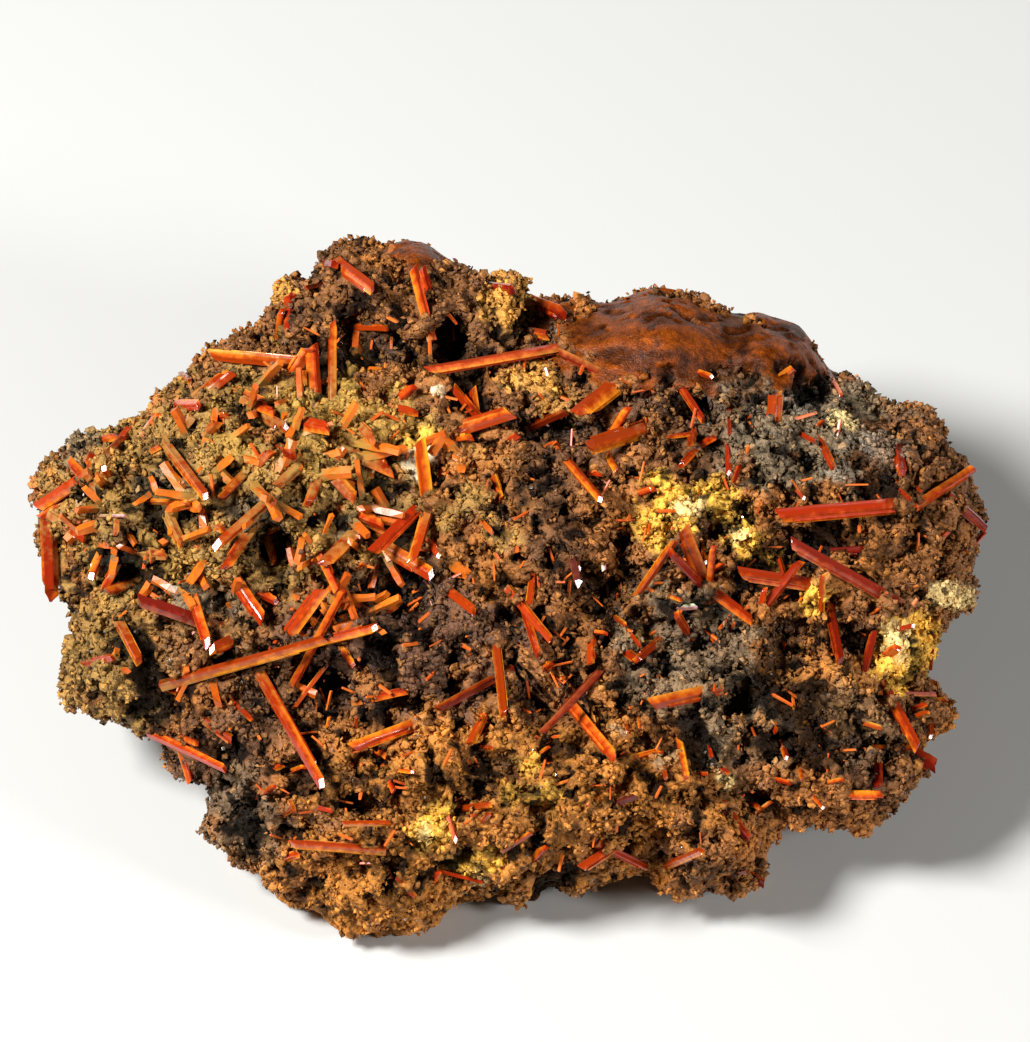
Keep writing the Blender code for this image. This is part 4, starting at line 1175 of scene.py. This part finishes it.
def prism_parts(root, tip, width, depth, roll, rng, facing):
    """A prism's points and faces, then each point's place, share of the length and painted lit side."""
    axis = (tip - root).normalized()
    length = (tip - root).length
    across = axis.cross(TOWARDS_VIEWER).normalized()
    outward = across.cross(axis)
    turn = Matrix.Rotation(turned_from_glare(axis, across, outward, width, depth, roll), 3, axis)
    across, outward = turn @ across, turn @ outward
    end = Vector((-END_SLANT, rng.uniform(-END_SWING, END_SWING), 1))
    if facing is not None:
        end = Vector((facing.dot(across), facing.dot(outward), max(STEEPEST_END, facing.dot(axis))))
    stout = width > STOUT_STEPS * STEP
    section = prism_section(width, depth, stout, rng)
    slant = -(section @ np.array((end.x, end.y))) / end.z
    slant -= slant.max()
    start, way = np.array(root), np.array(axis)
    rings, lies, sides = [], [], []
    # Painted light: one side of each prism, picked at random, will be painted lighter than the other.
    light_side = rng.choice((-1, 1))
    for share in RINGS_ALONG if stout else FEW_RINGS_ALONG:
        size = (1 + (TIP_TAPER - 1) * share) * rng.uniform(*RING_SIZES)
        flat = section * size + rng.uniform(-RING_WAVER, RING_WAVER, 2) * width
        reach = share * length + (slant if share == 1.0 else np.zeros(len(section)))
        cross = np.outer(flat[:, 0], across) + np.outer(flat[:, 1], outward)
        rings.append(start + np.outer(reach, way) + cross)
        lies.append(np.column_stack((flat, reach)))
        sides.append(flat[:, 0] / (width / 2) * light_side)
    middle = rings[-1].mean(0)
    rings.append(middle + (rings[-1] - middle) * BEVEL_SIZE + way * BEVEL_HEIGHT * width)
    lie = np.concatenate(lies + lies[-1:])
    side = np.concatenate(sides + sides[-1:])
    return np.concatenate(rings), ring_faces(len(section), len(rings)), lie, lie[:, 2] / length, side


# %% Many prisms in one mesh
# Each prism is made a little wider than its solid, as wide as the real ones look.
WIDENED = 1.22
PAIR_ASIDE = 0.33
PAIR_SHARES = (0.72, 0.93)
PAIR_WIDTH = 0.45
PAIR_DEPTH = 0.5
PAIR_TURN = 0.2
SEEDS_PER_METRE = 1e7
PATTERN_SHIFT = 0.05


def prism_shapes(root, tip, width, roll, rng):
    """A prism's measures, and those of the thinner one grown along its side if it is stout."""
    depth = width * (BLADE_DEPTH if width > BLADE_WIDTH_STEPS * STEP else PRISM_DEPTH)
    shapes = [(root, tip, width, depth, roll)]
    if width > STOUT_STEPS * STEP:
        axis = tip - root
        aside = axis.cross(TOWARDS_VIEWER).normalized() * width * rng.choice((-PAIR_ASIDE, PAIR_ASIDE))
        shorter = root + axis * rng.uniform(*PAIR_SHARES)
        thin = (width * PAIR_WIDTH, depth * PAIR_DEPTH, roll + PAIR_TURN)
        shapes.append((root + aside, shorter + aside, *thin))
    return shapes


def crystal_mesh(name, prisms):
    """One mesh of many prisms, each with a root, tip, width, roll, colour, dust and way its end faces."""
    faces, rows = [], []
    first = 0
    for number, (root, tip, width, roll, body, dust, facing) in enumerate(prisms):
        rng = np.random.default_rng(int(abs(root.x) * SEEDS_PER_METRE) + number)
        for shape in prism_shapes(root, tip, width * WIDENED, roll, rng):
            points, own_faces, lie, along, side = prism_parts(*shape, rng, facing)
            faces += [tuple(first + index for index in face) for face in own_faces]
            first += len(points)
            lie = lie + np.array((0, 0, number * PATTERN_SHIFT))
            bodies, dusts = np.tile(body, (len(points), 1)), np.full(len(points), dust)
            rows.append((points, lie, along, side, bodies, dusts))
    points, lie, along, side, bodies, dusts = (np.concatenate(column) for column in zip(*rows))
    mesh = bpy.data.meshes.new(name)
    mesh.from_pydata(points.tolist(), [], faces)
    work = bmesh.new()
    work.from_mesh(mesh)
    bmesh.ops.recalc_face_normals(work, faces=work.faces)
    work.to_mesh(mesh)
    work.free()
    write_numbers(mesh, "along", along)
    write_numbers(mesh, "dust", dusts)
    # How far each point lies towards its prism's painted lit side.
    write_numbers(mesh, "side", side)
    write_colours(mesh, "body", bodies)
    lies = mesh.attributes.new("lie", "FLOAT_VECTOR", "POINT")
    lies.data.foreach_set("vector", lie.astype(np.float32).ravel())
    mesh.materials.append(CROCOITE)
    return mesh


# %% [markdown]
# Crocoite is lead chromate: very dense, with an adamantine lustre, orange where light passes a thin edge
# and deep red where it doesn't. Clear glass with a colour inside would need far more light paths, and at
# this size it would look no better, so that light is painted into the colour: darker roots, painted shade
# deep in the cores, a painted lit side on each prism, and a little real light let through. Dust from the
# limonite dulls the roots.

# %% Crocoite material
CLOUD = {"Scale": 1 / (0.9 * MM), "Detail": 3.0}
# The streaks are as fine as grooves on a real prism, and drawn out 20 times along it.
STREAK = {"Scale": 1 / (0.16 * MM), "Detail": 2.0}
DRAWN_OUT = (1.0, 1.0, 0.05)
DEEP_SHARE = (0.40, 0.17, 0.18)
DUST = "#a87c38"


def crocoite_material():
    """Dense orange-red crystal: painted inner light and shade, streaks along it, a glassy end and a dusty
    root.
    """
    material, tree, sockets = new_material("crocoite, adamantine", {
        "IOR": 2.0, "Specular IOR Level": 0.17, "Transmission Weight": 0.10})
    body = add(tree, STORED, {"attribute_name": "body"}, out="Color")
    lie = add(tree, STORED, {"attribute_name": "lie"}, out="Vector")
    dust, along, side = (
        add(tree, STORED, {"attribute_name": what}, out="Fac") for what in ("dust", "along", "side"))
    position = add(tree, "ShaderNodeTexCoord", out="Object")
    cloud = add(tree, NOISE, None, {"Vector": position, **CLOUD}, "Fac")
    drawn_out = add(tree, VECTORS, TIMES, {0: lie, 1: DRAWN_OUT})
    streak = add(tree, NOISE, None, {"Vector": drawn_out, **STREAK}, "Fac")
    # Clouds and streaks, darker towards the root.
    clouded = add(tree, MATHS, TIMES_PLUS, {0: cloud, 1: 0.45, 2: 0.30})
    streaked = add(tree, MATHS, TIMES_PLUS, {0: streak, 1: 0.6, 2: clouded})
    root_shade = add(tree, RANGE, None, {
        "Value": along, "From Min": 0.0, "From Max": 0.75, "To Min": 0.55, "To Max": 1.12})
    level = add(tree, MATHS, TIMES, {0: streaked, 1: root_shade})
    # Painted light: one side is more golden than the other, as if light passed its thin edge.
    gold = add(tree, MATHS, TIMES_PLUS, {0: side, 1: 0.85, 2: 0.75})
    hue = add(tree, JOIN, None, {"X": 1.0, "Y": gold, "Z": 1.0})
    lit = add(tree, VECTORS, SCALED, {0: add(tree, VECTORS, TIMES, {0: body, 1: hue}), "Scale": level})
    # Painted shade and light inside: a deep red core, and orange where the clouds and the lit side let light
    # seem to pass.
    deep = add(tree, VECTORS, TIMES, {0: body, 1: DEEP_SHARE})
    side_share = add(tree, MATHS, TIMES, {0: side, 1: 0.8})
    light_passing = add(tree, MATHS, TIMES_PLUS, {0: cloud, 1: 2.0, 2: side_share})
    thin = add(tree, RANGE, None, {"Value": light_passing, "From Min": 0.85, "From Max": 1.75})
    clean = add(tree, MIX, COLOURS, {0: thin, 6: deep, 7: lit}, 2)
    # Patches of dust, most at the root.
    root_dust = add(tree, MATHS, TIMES_PLUS, {0: along, 1: -0.5, 2: 0.45})
    dusty = add(tree, MATHS, TIMES_PLUS, {0: dust, 1: 0.7, 2: root_dust})
    patches = add(tree, MATHS, TIMES, {0: cloud, 1: 1.7})
    amount = add(tree, MATHS, TIMES, {0: dusty, 1: patches})
    covered = add(tree, RANGE, None, {"Value": amount, "From Min": 0.3, "From Max": 0.75})
    mixed = add(tree, MIX, COLOURS, {0: covered, 6: clean, 7: linear(DUST)}, 2)
    tree.links.new(mixed, sockets["Base Color"])
    # The bevelled end is smoother than the sides.
    polish = add(tree, RANGE, None, {
        "Value": along, "From Min": 0.975, "From Max": 0.985, "To Min": 0.17, "To Max": 0.08})
    roughness = add(tree, MATHS, TIMES_PLUS, {0: covered, 1: 0.45, 2: polish})
    tree.links.new(roughness, sockets["Roughness"])
    bump = add(tree, BUMP, None, {"Strength": 0.25, "Distance": 0.06 * MM, "Height": streak})
    tree.links.new(bump, sockets["Normal"])
    return material


CROCOITE = crocoite_material()

# %% The colour of each crystal
ORANGE = "#ee741c"
DEEP = "#d25810"
RED = "#bc3c0c"
ROSE = "#b8542e"
PALE = "#f88c34"
AMBER = "#a04812"
COPPER = "#b05428"
PLUM = "#7c3a26"
# A white that stands for glints: painted highlights on three small prisms.
PAINTED_GLINT_WHITE = "#efe2d6"
LOOKS = {
    "crown_long": PALE, "crust_edge": DEEP, "crust_low": ROSE, "knob_right": RED, "centre_amber": AMBER,
    "centre_brown": COPPER, "centre_thick": DEEP, "right_rose": ROSE, "star_right": DEEP,
    "foot_bright": PALE, "spray_right": DEEP, "right_end": RED, "right_drop": RED, "centre_plum": PLUM,
    "vee_centre": DEEP,
}
# Small ones are found by their root.
SMALL_LOOKS = {
    (289, 321): RED, (536, 302): RED, (494, 287): RED, (324, 263): RED, (269, 380): PLUM, (331, 659): PALE,
    (526, 429): AMBER, (907, 547): RED, (897, 447): RED, (861, 673): RED, (611, 804): PLUM, (730, 812): RED,
    (877, 760): RED, (852, 719): PALE, (115, 447): PALE, (600, 372): ROSE,
    # These three are painted white glints.
    (602, 546): PAINTED_GLINT_WHITE, (673, 608): PAINTED_GLINT_WHITE, (98, 516): PAINTED_GLINT_WHITE,
}
# The ends of these flash in the light.
GLINTS = {
    "crust_edge", "centre_glint", "crust_bright", "cross_tip", "centre_plum", "centre_glassy", "crust_bar",
    "centre_spike", "crust_hook", "crown_needle",
}
LEVELS = (0.8, 1.15)
YELLOWNESS = (0.7, 1.25)
CRUST_MIDDLE = (240, 505)
CRUST_HALF_SIZE = (215, 130)
CRUST_EDGE = 1.4


def varied(hex_colour, rng):
    """The colour, a little lighter or darker and redder or yellower."""
    red, green, blue, _ = linear(hex_colour)
    level = rng.uniform(*LEVELS)
    return np.minimum(1, np.array((red, green * rng.uniform(*YELLOWNESS), blue)) * level)


def dusty_at(point):
    """How much of the tan crust lies over a crystal rooted at a point."""
    x, y, _ = steps_of(np.array([point]))
    aside = (x[0] - CRUST_MIDDLE[0]) / CRUST_HALF_SIZE[0]
    below = (y[0] - CRUST_MIDDLE[1]) / CRUST_HALF_SIZE[1]
    return float(np.clip(CRUST_EDGE - np.hypot(aside, below), 0, 1))


# %% Large prisms, one piece for each node
LARGE_DUST = (0.1, 0.75)
LARGE_SEED = 100
by_node = {}
for number, (node, root, tip, width, roll) in enumerate(large):
    rng = np.random.default_rng(LARGE_SEED + number)
    body = varied(LOOKS.get(node, ORANGE), rng)
    dust = dusty_at(root) * rng.uniform(*LARGE_DUST)
    facing_way = glint_facing(root, tip) if node in GLINTS else None
    by_node.setdefault(node, []).append((root, tip, width, roll, body, dust, facing_way))
for node, rows in by_node.items():
    dress(new_object("prism_" + node, crystal_mesh("prism_" + node, rows)), "crocoite", "crystal_" + node)
print("dressed crystals:", len(by_node))

# %% Small prisms, seated on the finished rock
SMALL_DUST = (0.3, 1.1)
SMALL_SEED = 500
ORANGE_SHARE = 0.7
ONE_GLINT_IN = 11
HIGH_OUT = 60 * MM
rock_tree = BVHTree.FromPolygons(
    [Vector(point) for point in points], [tuple(face.vertices) for face in rock.data.polygons])


def ground_at(x, y):
    """How far towards the viewer the finished rock stands at steps (x, y)."""
    found = []
    for one_x, one_y, fallback in zip(x, y, front_out(x, y)):
        hit = rock_tree.ray_cast(Vector(place(one_x, one_y, HIGH_OUT)), -TOWARDS_VIEWER)[0]
        found.append(fallback if hit is None else steps_of(np.array([hit]))[2][0])
    return np.array(found)


small = []
for number, (root, tip, width) in enumerate(SMALL_CRYSTALS + SPECKS):
    rng = np.random.default_rng(SMALL_SEED + number)
    foot, head = crystal_axis(root, tip, SMALL_LIFT, ground_at)
    look = SMALL_LOOKS.get(root, ORANGE if rng.random() < ORANGE_SHARE else DEEP)
    facing_way = glint_facing(foot, head) if number % ONE_GLINT_IN == 0 else None
    roll = ROLL_SPREAD * math.sin(ROLL_STEP * number)
    body = varied(look, rng)
    dust = dusty_at(foot) * rng.uniform(*SMALL_DUST)
    small.append((foot, head, width * STEP, roll, body, dust, facing_way))
dress(new_object("prisms_small", crystal_mesh("prisms_small", small)), "crocoite")
print("small crystals:", len(small))

# %% [markdown]
# Between the large prisms the rock bristles with needles too small to place one by one, and on the tan
# crust at the left hundreds of short prisms are coated with limonite all over. They could be placed from a
# list like the others, but no one could tell them apart, so Geometry Nodes scatter both: a tapered
# four-sided rod, laid over at a random lean, where the density written on the rock allows it.

# %% The rod tree
ROD_INPUTS = (
    "Count per m2", "Least length", "Most length", "Least width", "Most width", "Lean", "Sink", "Crumble",
    "Seed")
ROD_SHAPE = {"Vertices": 4, "Side Segments": 4, "Radius Top": 0.40, "Radius Bottom": 0.5, "Depth": 1.0}
ROD_FLATNESS = 0.75
ROD_WRINKLE = 0.8 * MM
FIRST_SALT = 11
TURN = "FunctionNodeRotateRotation"
OWN_AXES = {"rotation_space": "LOCAL"}


def rod_tree(material):
    """Tapered four-sided rods on the ground, each with its own size and lean."""
    tree, given, result = new_tree("scattered rods", ROD_INPUTS)
    scatter = sown(tree, given, "rods")
    limits = {
        "lean": (0.8, 1.1), "way": (0.0, FULL_TURN), "spin": (0.0, FULL_TURN),
        "width": (given["Least width"], given["Most width"]),
        "length": (given["Least length"], given["Most length"]), "tone": (0.0, 1.0),
    }
    drawn = {}
    for salt, (what, (least, most)) in enumerate(limits.items(), FIRST_SALT):
        seed = add(tree, MATHS, PLUS, {0: given["Seed"], 1: float(salt)})
        drawn[what] = add(tree, CHANCE, NUMBER, {2: least, 3: most, "Seed": seed}, 1)
    leaning = add(tree, MATHS, TIMES, {0: given["Lean"], 1: drawn["lean"]})
    lean = add(tree, JOIN, None, {"X": leaning, "Z": drawn["way"]})
    spin = add(tree, JOIN, None, {"Z": drawn["spin"]})
    spun = add(tree, TURN, OWN_AXES, {0: scatter["Rotation"], 1: spin})
    leaned = add(tree, TURN, OWN_AXES, {0: spun, 1: lean})
    thin = add(tree, MATHS, TIMES, {0: drawn["width"], 1: ROD_FLATNESS})
    size = add(tree, JOIN, None, {"X": drawn["width"], "Y": thin, "Z": drawn["length"]})
    cone = add(tree, "GeometryNodeMeshCone", {"fill_type": "NGON"}, ROD_SHAPE, "Mesh")
    level = add(tree, "ShaderNodeSeparateXYZ", None, {0: add(tree, POSITION)}, "Z")
    rod = add(tree, STORE, POINT_NUMBER, {"Geometry": cone, "Name": "along", "Value": level})
    inward = add(tree, MATHS, TIMES, {0: given["Sink"], 1: -1.0})
    looks = {"Instance": rod, "Rotation": leaned, "Scale": size}
    painted = grown(tree, given, scatter, inward, drawn["tone"], looks, ROD_WRINKLE, material)
    tree.links.new(painted, result[0])
    return tree


# %% The rods' finish
COAT_CLOUD = {"Scale": 1 / (0.6 * MM), "Detail": 4.0, "Roughness": 0.7}


def rod_material(name, coat, dark, light, roughness):
    """Orange crystal under patches of the ground's own colour, more of them near the root or with a coat."""
    material, tree, sockets = new_material(name, {
        "IOR": 2.0, "Specular IOR Level": 0.2, "Roughness": roughness})
    tone, along = (add(tree, STORED, {"attribute_name": what}, out="Fac") for what in ("tone", "along"))
    ground = add(tree, STORED, {"attribute_name": "shade"}, out="Color")
    position = add(tree, "ShaderNodeTexCoord", out="Object")
    cloud = add(tree, NOISE, None, {"Vector": position, **COAT_CLOUD}, "Fac")
    own_cloud = add(tree, MATHS, MINUS, {0: cloud, 1: 0.3})
    own_share = add(tree, MATHS, TIMES_PLUS, {0: tone, 1: 0.6, 2: own_cloud})
    own = add(tree, MIX, COLOURS, {0: own_share, 6: linear(dark), 7: linear(light)}, 2)
    cover = add(tree, MATHS, TIMES_PLUS, {0: cloud, 1: 1.6, 2: coat})
    cover = add(tree, MATHS, MINUS, {0: cover, 1: along})
    patchy = add(tree, RANGE, None, {"Value": cover, "From Min": 0.55, "From Max": 0.8})
    mixed = add(tree, MIX, COLOURS, {0: patchy, 6: own, 7: ground}, 2)
    tree.links.new(mixed, sockets["Base Color"])
    bump = add(tree, BUMP, None, {"Strength": 0.5 * coat, "Distance": 0.2 * MM, "Height": cloud})
    tree.links.new(bump, sockets["Normal"])
    return material


COATED = rod_material("crocoite under a limonite coat", 0.30, "#a8400a", "#e2761a", 0.35)
NEEDLES = rod_material("crocoite needles", 0.0, "#b8380c", "#ee7c2c", 0.3)

# %% Scatter needles and coated prisms
# Rods stand on the leaning face only, off its rim, off the smooth caps and clear of the large prisms.
COATED_AREA = (None, 220, 515, 215, 140, 1.0, 0)
COATED_FRAY_SPACING = 6 * MM
COATED_FRAY_LEVEL = 21.0
RIM_MARGIN_MM = 4
RIM_MARGIN_FADE_MM = 3
ROUGH_ENOUGH = 0.5
FRONT_ENOUGH = 0.9
FEWER_ON_CRUST = 0.7
x, y, _ = steps_of(points)
frayed = fray_noise(points, COATED_FRAY_SPACING, COATED_FRAY_LEVEL)
on_crust = patch_weight(x, y, frayed, COATED_AREA) * facing
off_crust = 1 - FEWER_ON_CRUST * on_crust
off_rim = np.clip((rim_distance(x, y) / MM - RIM_MARGIN_MM) / RIM_MARGIN_FADE_MM, 0, 1)
free = (rough > ROUGH_ENOUGH) * off_rim * facing * (front_share(points) > FRONT_ENOUGH) * (1 - bare)
# Name, where, count, least and most length, least and most width, sink and crumbling in mm, lean in
# radians, seed and finish.
RODS = [
    ("prisms_coated", on_crust * free, 215, 2.8, 6.2, 0.9, 1.5, 0.55, 0.5, 1.36, 31, COATED),
    ("needles", off_crust * free, 360, 1.0, 2.8, 0.25, 0.5, 0.1, 0.0, 1.0, 32, NEEDLES),
]
for name, where, count, shortest, longest, thinnest, thickest, sink, crumble, lean, seed, material in RODS:
    ground = new_object(name, rock.data.copy())
    write_numbers(ground.data, "rods", where)
    rods = new_object(name, run_tree(ground, rod_tree(material), {
        "Count per m2": count / weighted_area(rock.data, where),
        "Least length": shortest * MM, "Most length": longest * MM,
        "Least width": thinnest * MM, "Most width": thickest * MM,
        "Lean": lean, "Sink": sink * MM, "Crumble": crumble * MM, "Seed": seed}))
    print(name, "faces:", len(rods.data.polygons))
    dress(rods, "crocoite")

# %% [markdown]
# ## The studio
#
# A plain pale floor and soft lights. The key light comes from the upper left, as the glints on the prisms
# ask for, and a weak one from the right keeps the creases readable. The camera looks down on the leaning
# face at 50 degrees, from far away through a long lens, so that the face shows almost no perspective.

# %% Floor
FLOOR_HALF_SIZE = 3.0
FLOOR_GAP = 0.05 * MM
corners = [(FLOOR_HALF_SIZE * x, FLOOR_HALF_SIZE * y, 0) for x, y in ((-1, -1), (1, -1), (1, 1), (-1, 1))]
floor_mesh = bpy.data.meshes.new("floor")
floor_mesh.from_pydata(corners, [], [(0, 1, 2, 3)])
# Matt paper shows soft shadows and no reflection.
PAPER, _, _ = new_material("matt paper, pale grey", {"Base Color": linear("#bfbfbc"), "Roughness": 0.9})
floor_mesh.materials.append(PAPER)
floor = new_object("studio_floor", floor_mesh)
floor.location.z = -FLOOR_GAP

# %% Lights
LAMP_DISTANCE = 0.7
LOOKED_AT = (515, 521)
TARGET = Vector(place(*LOOKED_AT, 0.0))
SKY = "#efe9e0"
SKY_STRENGTH = 0.06


def area_light(name, size, power):
    """A round soft lamp, its diameter in metres and its power in watts, aimed at the specimen."""
    data = bpy.data.lights.new(name, "AREA")
    data.shape = "DISK"
    data.size = size
    data.energy = power
    light = new_object(name, data)
    light.location = TARGET + LAMPS[name] * LAMP_DISTANCE
    light.rotation_euler = (-LAMPS[name]).to_track_quat("-Z", "Y").to_euler()


area_light("key", 0.20, 10.5)
area_light("second", 0.18, 3.4)
world = bpy.data.worlds.new("studio")
world.use_nodes = True
world.node_tree.nodes["Background"].inputs["Color"].default_value = linear(SKY)
world.node_tree.nodes["Background"].inputs["Strength"].default_value = SKY_STRENGTH
bpy.context.scene.world = world
bpy.context.scene.view_settings.view_transform = "Standard"

# %% Camera
CAMERA_DISTANCE = 2.0
PICTURE_STEPS = 1042
SENSOR_MM = 36.0
camera_data = bpy.data.cameras.new("camera")
camera_data.sensor_width = SENSOR_MM
camera_data.lens = SENSOR_MM * CAMERA_DISTANCE / (PICTURE_STEPS * STEP)
camera = new_object("camera", camera_data)
camera.location = TARGET + TOWARDS_VIEWER * CAMERA_DISTANCE
camera.rotation_euler = (-TOWARDS_VIEWER).to_track_quat("-Z", "Y").to_euler()
bpy.context.scene.camera = camera
print("lens in mm:", camera_data.lens)
